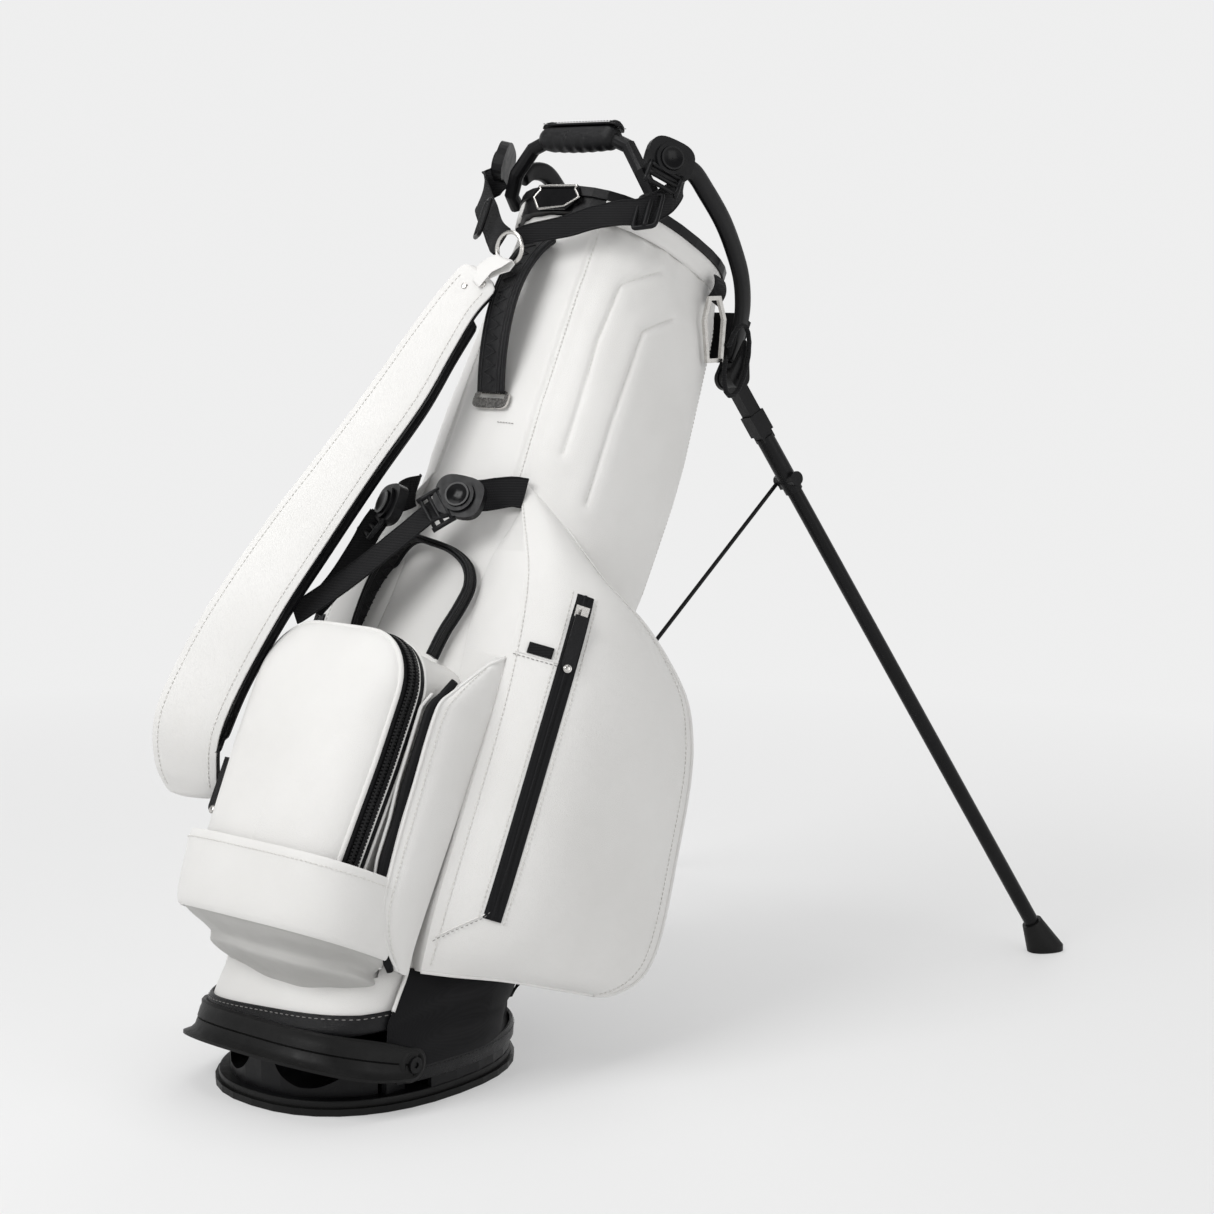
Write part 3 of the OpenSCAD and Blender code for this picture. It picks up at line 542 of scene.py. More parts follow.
def stitch_row(name, path, normals, look, pitch=4.2, length=3.0, radius=0.42, body="bag"):
    """A row of sewn stitches: small pills lying along the path."""
    path = np.asarray(path, float)
    normals = np.broadcast_to(np.asarray(normals, float), path.shape)
    both = even(np.hstack([path, normals]), pitch)
    p, nrm = both[:, :3], unit(both[:, 3:])
    t = tangents(p)
    nrm = unit(nrm - t * np.sum(nrm * t, 1, keepdims=True))
    side = np.cross(nrm, t)
    shape = [(-0.4, 0.75), (0.0, 1.0), (0.4, 0.75)]
    verts, faces = [], []
    ang = np.linspace(0, 2 * math.pi, 6, endpoint=False)
    for k in range(len(p)):
        base = len(verts)
        c = p[k] + nrm[k] * (radius * 0.9)
        for along, fat in shape:
            for a in ang:
                spoke = nrm[k] * math.cos(a) + side[k] * math.sin(a)
                verts.append(c + t[k] * along * length + spoke * radius * fat)
        tip0, tip1 = len(verts), len(verts) + 1
        verts.append(c - t[k] * length * 0.5 - nrm[k] * radius * 0.6)
        verts.append(c + t[k] * length * 0.5 - nrm[k] * radius * 0.6)
        for r in range(2):
            for j in range(6):
                a0 = base + r * 6 + j
                a1 = base + r * 6 + (j + 1) % 6
                faces.append((a0, a1, a1 + 6, a0 + 6))
        for j in range(6):
            faces.append((base + (j + 1) % 6, base + j, tip0))
            faces.append((base + 12 + j, base + 12 + (j + 1) % 6, tip1))
    return piece(name, verts, faces, look, body=body)


def dome(name, place, normal, radius, height, look, body="bag"):
    """A rivet or snap: a flanged dome."""
    normal = unit(np.asarray(normal, float))
    a = unit(np.cross(normal, [0.3, 0.5, 0.8]))
    b = np.cross(normal, a)
    flange = 1.25
    profile = [(flange, -0.3), (flange, 0.12), (flange * 0.97, 0.2), (1.02, 0.24), (0.98, 0.45),
               (0.85, 0.75), (0.6, 0.93), (0.3, 1.0)]
    ang = np.linspace(0, 2 * math.pi, 24, endpoint=False)
    rings = [[np.asarray(place) + (a * math.cos(q) + b * math.sin(q)) * radius * r + normal * height * h
              for q in ang] for r, h in profile]
    return loft(name, rings, look, body=body, sharp=50)


def surface_tree(obj):
    """BVH of a piece in the bag frame, for laying seams on it."""
    mesh = obj.data
    bag = to_bag(np.array([v.co for v in mesh.vertices]))
    return BVHTree.FromPolygons([tuple(v) for v in bag], [tuple(p.vertices) for p in mesh.polygons])


def lay_on(tree, path, lift=0.0, step=4.0):
    """Moves a path onto the nearest surface; returns its points and the normals there."""
    path = even(np.asarray(path, float), step)
    points, normals = [], []
    for q in path:
        hit, nrm, _, _ = tree.find_nearest(Vector(q))
        points.append(np.array(hit) + np.array(nrm) * lift)
        normals.append(np.array(nrm))
    return np.array(points), np.array(normals)


def cast_on(tree, path, toward, lift=0.0, smooth=2):
    """Lays a path on a surface along a direction; returns its points and the normals there."""
    path = even(np.asarray(path, float), 4.0)
    toward = unit(np.asarray(toward, float))
    points, normals = [], []
    for q in path:
        hit, nrm, _, _ = tree.ray_cast(Vector(q - toward * 120), Vector(toward), 400)
        if hit is None:
            hit, nrm, _, _ = tree.find_nearest(Vector(q))
        nrm = np.array(nrm)
        if nrm @ toward > 0:
            nrm = -nrm
        points.append(np.array(hit))
        normals.append(nrm)
    p, n = np.array(points), unit(np.array(normals))
    for _ in range(smooth):
        p[1:-1] = (p[:-2] + 2 * p[1:-1] + p[2:]) / 4
        n[1:-1] = (n[:-2] + 2 * n[1:-1] + n[2:]) / 4
    n = unit(n)
    return p + n * lift, n


def mirror(path):
    return np.asarray(path, float) * np.array([1, -1, 1])


def ripple(p, scale, seed=0.0):
    """Smooth deterministic noise of a point array, about -1 to 1."""
    q = np.asarray(p, float) / scale + seed
    x, y, z = q[..., 0], q[..., 1], q[..., 2]
    return (np.sin(1.7 * x + 0.6 * np.sin(1.3 * z + seed)) * np.cos(1.1 * y + 0.8 * np.sin(0.9 * x))
            + np.sin(1.9 * z + 1.4 * np.cos(0.7 * y + seed)) * 0.7
            + 0.5 * np.sin(2.9 * x + 2.3 * y - 2.1 * z + seed)) / 2.0


def to_lines(points, line):
    """Least distance of each point to a polyline."""
    best = np.full(len(points), 1e9)
    for a, b in zip(line[:-1], line[1:]):
        d = b - a
        t = np.clip(((points - a) @ d) / max(d @ d, 1e-9), 0, 1)
        best = np.minimum(best, np.linalg.norm(points - (a + t[:, None] * d), axis=1))
    return best


# ---------- trunk ----------

RIM_S = 774.0
HEM_TILT = 0.07


def table(s, rows):
    return np.interp(s, [r[0] for r in rows], [r[1] for r in rows])


def trunk_n(s):
    return table(s, [(0, 117), (140, 112), (300, 104), (450, 98), (700, 96), (800, 97)])


def trunk_u(s):
    return table(s, [(0, 109), (140, 110), (300, 111), (450, 112), (600, 107), (720, 94), (800, 80)])


def trunk_shift(s):
    return table(s, [(0, -14), (140, -8), (300, -2), (450, 0), (800, 0)])


def front_e(s):
    return table(s, [(0, 3.4), (140, 2.7), (300, 2.3), (800, 2.3)])


def back_e(s):
    return table(s, [(0, 2.3), (380, 2.3), (560, 3.3), (730, 3.3), (800, 2.6)])


def trunk_xy(angle, s, grow=0.0):
    """Point of the trunk's outline: angle 0 is straight back, 180 degrees straight ahead."""
    c, d = np.cos(angle), np.sin(angle)
    e = np.where(c > 0, back_e(s), front_e(s))
    return trunk_shift(s) + (trunk_n(s) + grow) * signed(c, e), (trunk_u(s) + grow) * signed(d, e)


def trunk_angle(n, y, s):
    """Angle whose outline point lies in the direction of (n, y)."""
    a = np.linspace(-math.pi, math.pi, 1441)
    on, oy = trunk_xy(a, s)
    want = math.atan2(y, n - float(trunk_shift(s)))
    have = np.arctan2(oy, on - trunk_shift(s))
    return float(a[np.argmin(np.abs(np.angle(np.exp(1j * (have - want)))))])


def trunk_line(points, step=5.0, grow=0.0, lift=0.0):
    """A path on the trunk through the points given, with its normals."""
    key = np.array([[trunk_angle(*p), p[2]] for p in np.asarray(points, float)])
    arc = np.column_stack([np.unwrap(key[:, 0]) * 100, key[:, 1], np.zeros(len(key))])
    arc = even(arc, step)
    n, y = trunk_xy(arc[:, 0] / 100, arc[:, 1], grow)
    p = np.column_stack([n, y, arc[:, 1]])
    n2, y2 = trunk_xy(arc[:, 0] / 100 + 0.01, arc[:, 1], grow)
    along = np.column_stack([n2 - n, y2 - y, np.zeros(len(n))])
    normal = unit(np.cross(along, [0, 0, 1.0]))
    return p + normal * lift, normal


def ring_edge(n):
    """Height of the slanted ring that closes the trunk's foot."""
    return 14 + 0.376 * (n + 131)


def hem(n, y=0.0):
    """Height of the trunk leather's lower edge: it dips over the band in front."""
    edge = np.interp(n, [-131, -110, -85, -72, -56, -40, -30, 131], [-6, 3, 17, 19, 14, 34, 52, 112.5])
    return edge - HEM_TILT * np.asarray(y)


QUILTS = [
    np.array([(-31, -86, 749), (-66, -74, 719), (-71, -73, 661), (-74, -78, 549)], float),
    np.array([(-7, -94, 713), (-38, -92, 686), (-47, -97, 597), (-49, -100, 513)], float),
]
SEAMS = [
    np.array([(-87, -44, 768), (-88, -44, 702), (-90, -46, 592), (-91, -49, 516)], float),
    np.array([(66, -70, 740), (66, -74, 640), (62, -80, 540), (60, -86, 470)], float),
]


def build_trunk():
    """Quilted leather tube: sunk seams, padded chevrons and a lining."""
    cols, rows = 300, 250
    a = np.linspace(-math.pi, math.pi, cols, endpoint=False)
    n0, y0 = trunk_xy(a, np.zeros(cols))
    low = hem(n0, y0)
    v = np.linspace(0, 1, rows)[:, None]
    s = low[None] * (1 - v) + RIM_S * v
    n, y = trunk_xy(np.broadcast_to(a[None], s.shape), s)
    w = np.clip((s - low[None]) / 60, 0, 1)
    n = n0[None] * (1 - w) + n * w
    y = y0[None] * (1 - w) + y * w
    p = np.stack([n, y, s], -1).reshape(-1, 3)
    flat = np.stack([n - trunk_shift(s), y, np.zeros_like(y)], -1).reshape(-1, 3)
    normal = unit(flat * np.array([1, 1.05, 1]))
    push = np.zeros(len(p))
    # Each line is sunk by so much over so narrow a band, with a puffed roll beside it
    for lines, sunk, narrow, puffed, off, broad in ((QUILTS, 1.9, 2.0, 1.1, 10, 9), (SEAMS, 1.5, 1.8, 0.7, 6, 5)):
        for line in lines:
            for way in (line, mirror(line)):
                d = to_lines(p, trunk_line(way)[0])
                push += -sunk * np.exp(-(d / narrow) ** 2) + puffed * np.exp(-((d - off) / broad) ** 2)
    push += 0.55 * ripple(p, 62, 0.4) + 0.28 * ripple(p, 27, 2.2)
    near_top = np.exp(-((p[:, 2] - RIM_S) / 26) ** 2)
    push += near_top * (0.8 * np.sin(np.repeat(a[None], rows, 0).reshape(-1) * 23) - 0.8)
    outer = p + normal * push[:, None]
    lining = []
    for t in np.linspace(1, 0, 24):
        si = np.maximum(RIM_S * t, low + 9)
        ni, yi = trunk_xy(a, si, -5)
        lining.append(np.column_stack([ni, yi, si]))
    lining = np.array(lining)
    verts = np.vstack([outer, lining.reshape(-1, 3)])
    faces = grid_faces(rows, cols, wrap_cols=True)
    off = rows * cols
    faces += [(off - cols + j, off - cols + (j + 1) % cols, off + (j + 1) % cols, off + j) for j in range(cols)]
    mark = len(faces)
    faces += grid_faces(len(lining), cols, wrap_cols=True, start=off)
    end = off + (len(lining) - 1) * cols
    faces += [(end + j, end + (j + 1) % cols, (j + 1) % cols, j) for j in range(cols)]
    o = piece("trunk_cover", verts, faces, [WHITE, LINING], replace=("trunk_shell",))
    for poly in o.data.polygons:
        if mark <= poly.index < len(faces) - cols:
            poly.material_index = 1


build_trunk()
for side_name, flip in (("near", lambda q: q), ("far", mirror)):
    for k, line in enumerate(QUILTS):
        path, nrm = trunk_line(flip(line), step=4.4, lift=-1.7)
        stitch_row(f"quilt_stitches_{side_name}_{k}", path, nrm, THREAD, pitch=4.6, length=3.3, radius=0.4)
    for name, line, beside in (("front", SEAMS[0], (0, -3.2, 0)), ("back", SEAMS[1], (-3.5, 0, 0))):
        path, nrm = trunk_line(flip(line + np.array(beside)), step=4.4, lift=0.4)
        stitch_row(f"{name}_seam_stitches_{side_name}", path, nrm, THREAD, pitch=4.2, length=3.1, radius=0.4)


def build_binding():
    """Folded leather edge round the trunk's lower front, with dashed stitches."""
    rings, mid, out = [], [], []
    section = [(-2.5, 1), (-1.5, -2), (1.4, -2.6), (3.2, -1), (3.6, 4), (3.4, 9), (3.0, 14), (2.0, 15.5),
               (0.4, 15.6), (0.2, 8)]
    for q in np.linspace(math.radians(116), math.radians(246), 120):
        n, y = trunk_xy(q, 0.0)
        n2, y2 = trunk_xy(q, 0.0, 3.4)
        s = float(np.interp(n, [-131, -110, -85, -72, -56, -40, -28], [-6, 3, 17, 19, 12, 1, -4])) - HEM_TILT * y
        radial = unit(np.array([n2 - n, y2 - y, 0.0]))
        foot = np.array([n, y, s])
        rings.append([foot + radial * u + np.array([0, 0, w]) for u, w in section])
        mid.append(foot + radial * 3.3 + np.array([0, 0, 11.6]))
        out.append(radial)
    loft("hem_binding", rings, BLACK_HIDE, replace=("trunk_binding",))
    stitch_row("hem_binding_stitches", mid, np.array(out), GREY_THREAD, pitch=6.0, length=3.6, radius=0.4)


build_binding()

# ---------- side pockets ----------

# Outer face of the near side pocket: rows from the top down, each from the front seam to the piped edge
SIDE_POCKET = np.array([
    [(-90, -54, 515), (-86, -59, 514), (-81, -65, 511), (-76, -71, 507), (-71, -76, 503)],
    [(-93, -72, 480), (-82, -96, 476), (-66, -112, 468), (-46, -122, 459), (-26, -129, 449)],
    [(-98, -97, 436), (-84, -126, 433), (-56, -147, 429), (-20, -155, 428), (20, -151, 426)],
    [(-100, -108, 398), (-79, -143, 394), (-41, -165, 391), (20, -172, 390), (79, -164, 389)],
    [(-100, -113, 356), (-74, -151, 352), (-33, -173, 350), (34, -180, 352), (103, -169, 357)],
    [(-99, -116, 300), (-71, -154, 298), (-29, -176, 298), (44, -183, 303), (119, -171, 316)],
    [(-99, -118, 240), (-69, -154, 236), (-26, -177, 232), (50, -184, 234), (130, -173, 246)],
    [(-98, -119, 180), (-67, -153, 174), (-24, -175, 168), (56, -182, 166), (142, -172, 176)],
    [(-96, -119, 128), (-65, -147, 124), (-21, -168, 120), (56, -175, 122), (143, -165, 137)],
    [(-90, -117, 92), (-61, -138, 92), (-18, -155, 98), (46, -162, 104), (118, -156, 112)],
    [(-84, -114, 74), (-58, -130, 80), (-15, -145, 90), (44, -152, 99), (104, -148, 107)],
], float)
ZIP_TOP = np.array([-70, -153, 412.0])
ZIP_LOW = np.array([-62, -153, 142.0])
ZIP_OUT = unit(np.array([-0.62, -0.78, 0]))
WALL_E = 2.3


def smooth_grid(ctrl, down, across):
    """Catmull-Rom patch through a control grid."""
    cols = [spline(ctrl[:, k], 1.0) for k in range(ctrl.shape[1])]
    lines = np.stack([c[np.linspace(0, len(c) - 1, down).astype(int)] for c in cols], 1)
    out = []
    for row in lines:
        c = spline(row, 0.8)
        out.append(c[np.linspace(0, len(c) - 1, across).astype(int)])
    return np.array(out)


def relax(grid, rounds):
    for _ in range(rounds):
        grid[1:-1] = (grid[:-2] + 2 * grid[1:-1] + grid[2:]) / 4
        grid[:, 1:-1] = (grid[:, :-2] + 2 * grid[:, 1:-1] + grid[:, 2:]) / 4
    return grid


def trunk_wall(n, s):
    """Distance of the trunk's side wall from its middle plane, where n is off the trunk's centre."""
    share = np.clip(np.abs(n) / trunk_n(s), 0, 0.98)
    return trunk_u(s) * (1 - share ** WALL_E) ** (1 / WALL_E)


def trunk_back(y, s):
    """Furthest back that the trunk's wall reaches at a distance from its middle plane."""
    return trunk_shift(s) + trunk_n(s) * (1 - (np.abs(y) / trunk_u(s)) ** WALL_E) ** (1 / WALL_E)


def build_side_pocket(side, flip):
    """Crowned apparel pocket with a piped edge and a gusset behind it."""
    down, across = 120, 84
    face = relax(smooth_grid(SIDE_POCKET, down, across), 6)
    v = np.linspace(0, 1, down)[:, None]
    u = np.linspace(0, 1, across)[None]
    soft = np.sin(math.pi * u) ** 0.5 * np.sin(math.pi * v) ** 0.5
    face[..., 1] -= soft * (1.1 * ripple(face, 74, 1.3) + 0.5 * ripple(face, 33, 4.1))
    edge = face[:, -1]
    # The gusset runs from the piped edge back to the trunk
    inner = edge.copy()
    inner[:, 0] -= 5
    inner[:, 1] = -np.minimum(126, np.abs(edge[:, 1]) - 12)
    lean_in = np.clip((edge[:, 0] + 60) / 100, 0, 1)
    seat = edge.copy()
    seat[:, 0] = np.minimum(edge[:, 0], 62) * lean_in + (edge[:, 0] - 4) * (1 - lean_in)
    seat[:, 1] = -trunk_wall(seat[:, 0] - trunk_shift(seat[:, 2]), seat[:, 2]) - 1.5
    seat[:, 1] = np.maximum(seat[:, 1], inner[:, 1] + 1)
    front = face[:, 0].copy()
    wall = trunk_wall(front[:, 0] - trunk_shift(front[:, 2]) + 6, front[:, 2])
    front[:, 0] += 6
    front[:, 1] = np.maximum(-wall - 1.5, face[:, 0, 1] + 1)
    back = []
    for k in range(down):
        seg = [edge[k] * (1 - t) + inner[k] * t for t in (0.08, 0.35, 0.7)]
        seg += [inner[k] * (1 - t) + seat[k] * t for t in (0, 0.25, 0.5, 0.75, 1)]
        seg += [seat[k] * (1 - t) + front[k] * t for t in (0.3, 0.6, 1)]
        back.append(seg)
    rings = np.concatenate([face, np.array(back)], 1)
    rings = np.array([flip(r) for r in rings])
    o = loft(f"side_pocket_cover_{side}", rings, WHITE, sharp=38, replace=(f"side_pocket_{side}",))
    tree = surface_tree(o)
    tube(f"side_piping_{side}", flip(spline(face[4:, -1], 4)), 1.9, WHITE)
    tube(f"side_low_piping_{side}", flip(even(face[-1], 4)), 1.7, WHITE)
    for name, run in (("edge", face[6:-3, -5]), ("lead", face[6:-2, 3])):
        p, n = lay_on(tree, flip(even(run, 4)), 0.2)
        stitch_row(f"side_{name}_stitches_{side}", p, n, THREAD, pitch=4.4, length=3.2)
    return tree


def build_side_zip(side, tree, flip):
    """Coated zip in a sewn slot: tape, a raised centre bead and a stitch row each side."""
    d = unit(ZIP_LOW - ZIP_TOP)
    out = unit(ZIP_OUT - d * (ZIP_OUT @ d))
    path = np.array([ZIP_TOP - d * 10 + d * t for t in np.linspace(0, np.linalg.norm(ZIP_LOW - ZIP_TOP) + 20, 70)])
    way = flip(-out)
    base, nrm = cast_on(tree, flip(path), way, smooth=6)
    cross = flip(np.cross(out, d))
    half = [(-8.5, -2.5), (-8.2, 0.5), (-6.8, 1.3), (-1.6, 1.5), (-1.1, 2.3)]
    profile = half + [(0, 2.6)] + [(-u, w) for u, w in reversed(half)]
    rings = [[q + cross * u + m * w for u, w in profile] for q, m in zip(base, nrm)]
    loft(f"side_zip_tape_{side}", rings, ZIP_TAPE, replace=(f"side_zip_{side}",), sharp=45)
    for k, off in enumerate((-11.6, 11.6)):
        p, n = cast_on(tree, base + cross * off, way, 0.2)
        stitch_row(f"side_zip_stitches_{side}_{k}", p, n, THREAD, pitch=4.4, length=3.2)


for side_name, way in (("near", lambda q: np.asarray(q, float)), ("far", mirror)):
    build_side_zip(side_name, build_side_pocket(side_name, way), way)

# ---------- front pocket ----------

BALL_W = 84.0
BALL_LOW = 134.0
BALL_SPRING = 284.0
BALL_CORNER = 52.0
BALL_MIDDLE = np.array([0, 225.0])
FACE_N, FACE_CROWN = -183, 25.5


def arch(grow, count):
    """Half-open outline of the front pocket, from its lower near corner over the top to the far one: (y, s)."""
    pts = [(-BALL_W + 4 - grow, BALL_LOW)]
    pts.append((-BALL_W - grow, BALL_SPRING - 60))
    pts.append((-BALL_W - grow, BALL_SPRING))
    for a in np.linspace(180, 90, 14)[1:]:
        pts.append((-(BALL_W - BALL_CORNER) + (BALL_CORNER + grow) * math.cos(math.radians(a)),
                    BALL_SPRING + (BALL_CORNER + grow) * math.sin(math.radians(a))))
    pts = pts + [(-y, s) for y, s in reversed(pts)]
    q = np.array(pts)
    q = np.column_stack([q, np.zeros(len(q))])
    q = even(q, 2.0)
    q = q[np.linspace(0, len(q) - 1, count).astype(int)][:, :2]
    for _ in range(3):
        q[1:-1] = (q[:-2] + 2 * q[1:-1] + q[2:]) / 4
    return q


def at_depth(outline, n):
    return np.column_stack([np.broadcast_to(np.asarray(n, float), len(outline)), outline[:, 0], outline[:, 1]])


def build_ball_pocket():
    """Domed face, arched zip and side wall of the front pocket."""
    count = 121
    full = arch(0, count)
    rings = []
    for t in np.r_[0.0, 0.02, 0.05, 0.1, np.linspace(0.16, 0.97, 22)]:
        ring = BALL_MIDDLE + (full - BALL_MIDDLE) * (1 - t)
        ring[0, 1] = ring[-1, 1] = BALL_LOW
        rings.append(at_depth(ring, FACE_N - FACE_CROWN * (1 - (1 - t) ** 2.6) ** 0.62))
    rings = np.array(rings)
    rings[..., 0] += 0.6 * ripple(rings, 46, 0.8) * np.linspace(0, 1, len(rings))[:, None]
    rows, cols = rings.shape[:2]
    faces = grid_faces(rows, cols)
    verts = np.vstack([rings.reshape(-1, 3), [[-208, 0, BALL_LOW]]])
    last = (rows - 1) * cols
    tip = len(verts) - 1
    faces += [(last + j, last + j + 1, tip) for j in range(cols - 1)]
    faces += [(i * cols, (i + 1) * cols, tip) for i in range(rows - 1)]
    faces += [((i + 1) * cols + cols - 1, i * cols + cols - 1, tip) for i in range(rows - 1)]
    piece("front_pocket_face", verts, faces, WHITE, sharp=50)
    tube("front_pocket_piping", even(at_depth(arch(-0.6, count), FACE_N), 3), 2.5, WHITE, sides=10)
    # Both bands are lofted round the arch from pairs of depth and growth, and closed underneath
    band = [at_depth(arch(grow, count), n) for n, grow in (
        (-181, -2.5), (-180, -1.2), (-176, -0.2), (-171.5, 0.2), (-167, -0.2), (-163, -1.2), (-162, -3),
        (-162, -7), (-181, -7))]
    loft("front_zip_tape", np.array(band).transpose(1, 0, 2), ZIP_TAPE, replace=("ball_zip",), sharp=50)
    rim = arch(0.6, 400)
    teeth("front_zip_teeth", at_depth(rim, -171.6), outline_normals(rim))
    back = np.array([at_depth(arch(grow, count), n) for n, grow in (
        (-163, -1.5), (-160, 0.4), (-150, 0.2), (-132, -1.0), (-112, -1.2), (-96, 0), (-84, 0))])
    back[..., 1] += 0.8 * ripple(back, 30, 2.6) * np.sign(back[..., 1])
    hidden = np.array([at_depth(arch(-6, count), -84), at_depth(arch(-6, count), -162)])
    rings = np.concatenate([back, hidden], 0).transpose(1, 0, 2)
    loft("front_pocket_wall", rings, WHITE, replace=("ball_pocket",), sharp=60)
    tube("front_wall_piping", even(at_depth(arch(0.8, count), -161.5), 3), 2.0, WHITE)


def outline_normals(outline):
    d = np.gradient(outline, axis=0)
    nrm = np.column_stack([np.zeros(len(d)), -d[:, 1], d[:, 0]])
    return unit(nrm)


def teeth(name, path, normals, wide=7.0, tall=1.5):
    """Zip teeth: two rows of interlocking blocks along a path, set across the n axis."""
    pitch = 3.1
    both = even(np.hstack([path, normals]), pitch / 2)
    p, nrm = both[:, :3], unit(both[:, 3:])
    t = tangents(p)
    verts, faces = [], []
    for k in range(len(p)):
        sidev = np.array([1.0, 0, 0]) * (1 if k % 2 else -1)
        c = p[k] + sidev * wide * 0.17
        hx, hy = wide * 0.36, pitch * 0.36
        base = len(verts)
        for level, shrink in ((-0.6, 1.0), (tall * 0.7, 1.0), (tall, 0.72)):
            for sx, sy in ((-1, -1), (1, -1), (1, 1), (-1, 1)):
                verts.append(c + sidev * hx * sx * shrink + t[k] * hy * sy * shrink + nrm[k] * level)
        for lv in (0, 4):
            for j in range(4):
                after = (j + 1) % 4
                faces.append((base + lv + j, base + lv + after, base + lv + 4 + after, base + lv + 4 + j))
        faces.append((base + 8, base + 9, base + 10, base + 11))
        faces.append((base + 3, base + 2, base + 1, base))
    piece(name, verts, faces, ZIP_TEETH, sharp=30)


build_ball_pocket()


def cuff_outline(s_at, shrink, count):
    """Front half of the cuff's oval at a height, from the near side round the front to the far side."""
    levels = [40, 44, 72, 128, 140]
    n_mid = np.interp(s_at, levels, [-98, -100, -118, -128, -129])
    rn = np.interp(s_at, levels, [56, 60, 84, 87, 87.5]) - shrink
    ru = np.interp(s_at, levels, [90, 92, 104, 105, 105.5]) - shrink
    a = np.linspace(0.5 * math.pi, 1.5 * math.pi, count)
    e = np.interp(s_at, [44, 72, 140], [2.8, 3.2, 3.2])
    return np.column_stack([n_mid + rn * signed(np.cos(a), e), -ru * signed(np.sin(a), e), np.full(count, s_at)])


def build_cuff():
    """Flap wrapped round the pocket's foot, over a gusset that sags in folds."""
    count = 161
    theta = np.linspace(0, 1, count)
    sag = 2.4 * np.sin(math.pi * theta)
    outer = ((74, -0.6), (78, -2.0), (86, -2.6), (100, -2.2), (116, -1.4), (128, -1.0), (135, -0.6), (137, 0.4))
    inner = ((136.4, 2.6), (128, 3.4), (100, 3.4), (80, 3.6), (74, 2.6), (72.6, 1.0))
    rings = np.array([cuff_outline(s, g, count) for s, g in outer + inner])
    rings[:, :, 2] -= sag
    rings[..., 0] += 0.9 * ripple(rings, 52, 3.3)
    loft("cuff_flap", rings.transpose(1, 0, 2), WHITE, sharp=50)
    row = cuff_outline(129.5, -1.6, count)
    row[:, 2] -= sag
    outward = unit(row - np.array([-118, 0, 129]))
    outward[:, 2] = 0
    uneven = 0.9 * np.column_stack([ripple(row, 52, 3.3), np.zeros(count), np.zeros(count)])
    stitch_row("cuff_stitches", row + uneven, outward, THREAD, pitch=4.4, length=3.2)
    levels = [(92, 5), (84, 4.5), (77, 3.5), (71, 2.0), (66, 3.5), (62, 8), (58, 11), (54, 8), (50, 5), (46, 8),
              (42, 15), (37, 24), (31, 30)]
    rings = []
    for s, g, _ in spline(np.array([[s, g, 0] for s, g in levels], float), 1.6):
        ring = cuff_outline(max(s, 40), g, count)
        ring[:, 2] = s
        rings.append(ring)
    rings = np.array(rings)
    depth = np.clip((90 - rings[..., 2]) / 30, 0, 1)
    fold = np.sin(theta * 17 + 2.2 * np.sin(theta * 5) + rings[..., 2] * 0.11) * 1.8
    fold = fold + ripple(rings, 21, 5.2) * 2.6
    away = unit(rings - np.array([-70, 0, 0]) * np.array([1, 1, 0]) - rings * np.array([0, 0, 1]))
    rings += away * (fold * depth)[..., None]
    rings[..., 2] += 2.4 * np.sin(theta * 9 + 1.0)[None] * depth
    inside = rings.copy()
    inside[..., 0] += 4
    inside[..., 1] *= 0.965
    both = np.concatenate([rings, inside[::-1]], 0).transpose(1, 0, 2)
    # The gusset gets the darker copy of the white leather, with the shadow under the flap painted into its colour
    loft("cuff_gusset", both, WHITE_PAINTED_SHADE, replace=("ball_cuff",))


build_cuff()

# ---------- slim pocket between the front pocket and the near side pocket ----------

def build_front_panel():
    """A flat pouch with crisp piped edges, lofted between its outer face and the trunk."""
    ctrl = np.array([
        [(-98, -111, 351), (-104, -111, 346), (-110, -110, 341), (-114, -108, 337)],
        [(-98, -113, 330), (-116, -113, 322), (-132, -110, 310), (-143, -104, 300)],
        [(-98, -114, 290), (-120, -115, 287), (-140, -112, 284), (-154, -105, 283)],
        [(-98, -114, 230), (-120, -116, 225), (-139, -113, 220), (-152, -105, 216)],
        [(-99, -114, 180), (-119, -116, 172), (-137, -113, 160), (-148, -105, 150)],
        [(-99, -113, 130), (-115, -114, 122), (-130, -111, 114), (-141, -105, 108)],
        [(-97, -111, 90), (-106, -111, 86), (-116, -109, 84), (-124, -106, 84)],
        [(-92, -109, 68), (-96, -109, 67), (-100, -108, 67), (-104, -107, 68)],
    ], float)
    face = relax(smooth_grid(ctrl, 90, 26), 3)
    edge = face[:, -1]
    offsets = np.array([(1.5, 4, 0), (4, 9, 0), (18, 13, 0)])
    back = np.array([[*(e + offsets), f + np.array([2, 14, 0])] for e, f in zip(edge, face[:, 0])])
    rings = np.concatenate([face, back], 1)
    loft("front_panel_cover", rings, WHITE, replace=("front_panel",), sharp=40)
    tube("front_panel_piping", even(np.vstack([face[0, 4:], edge[1:]]), 3), 1.5, WHITE)
    stitch_row("front_panel_stitches", even(face[3:-3, -4], 4) + np.array([-0.1, -0.3, 0]),
               np.array([-0.3, -0.95, 0]), THREAD, pitch=4.2, length=3.0)


build_front_panel()

# ---------- shoulder pads and straps ----------

PAD_RUN = [
    (-145, 18, 690, 42), (-150, 33, 658, 43), (-157, 43, 614, 48), (-164, 54, 562, 53.5), (-181, 67, 490, 55.5),
    (-201, 79, 411, 61), (-214, 93, 339, 63), (-211, 115, 277, 65), (-205, 128, 223, 66), (-184, 135, 188, 64),
    (-160, 137, 168, 58),
]
PAD_HINT = np.array([-0.42, 1, 0.1])


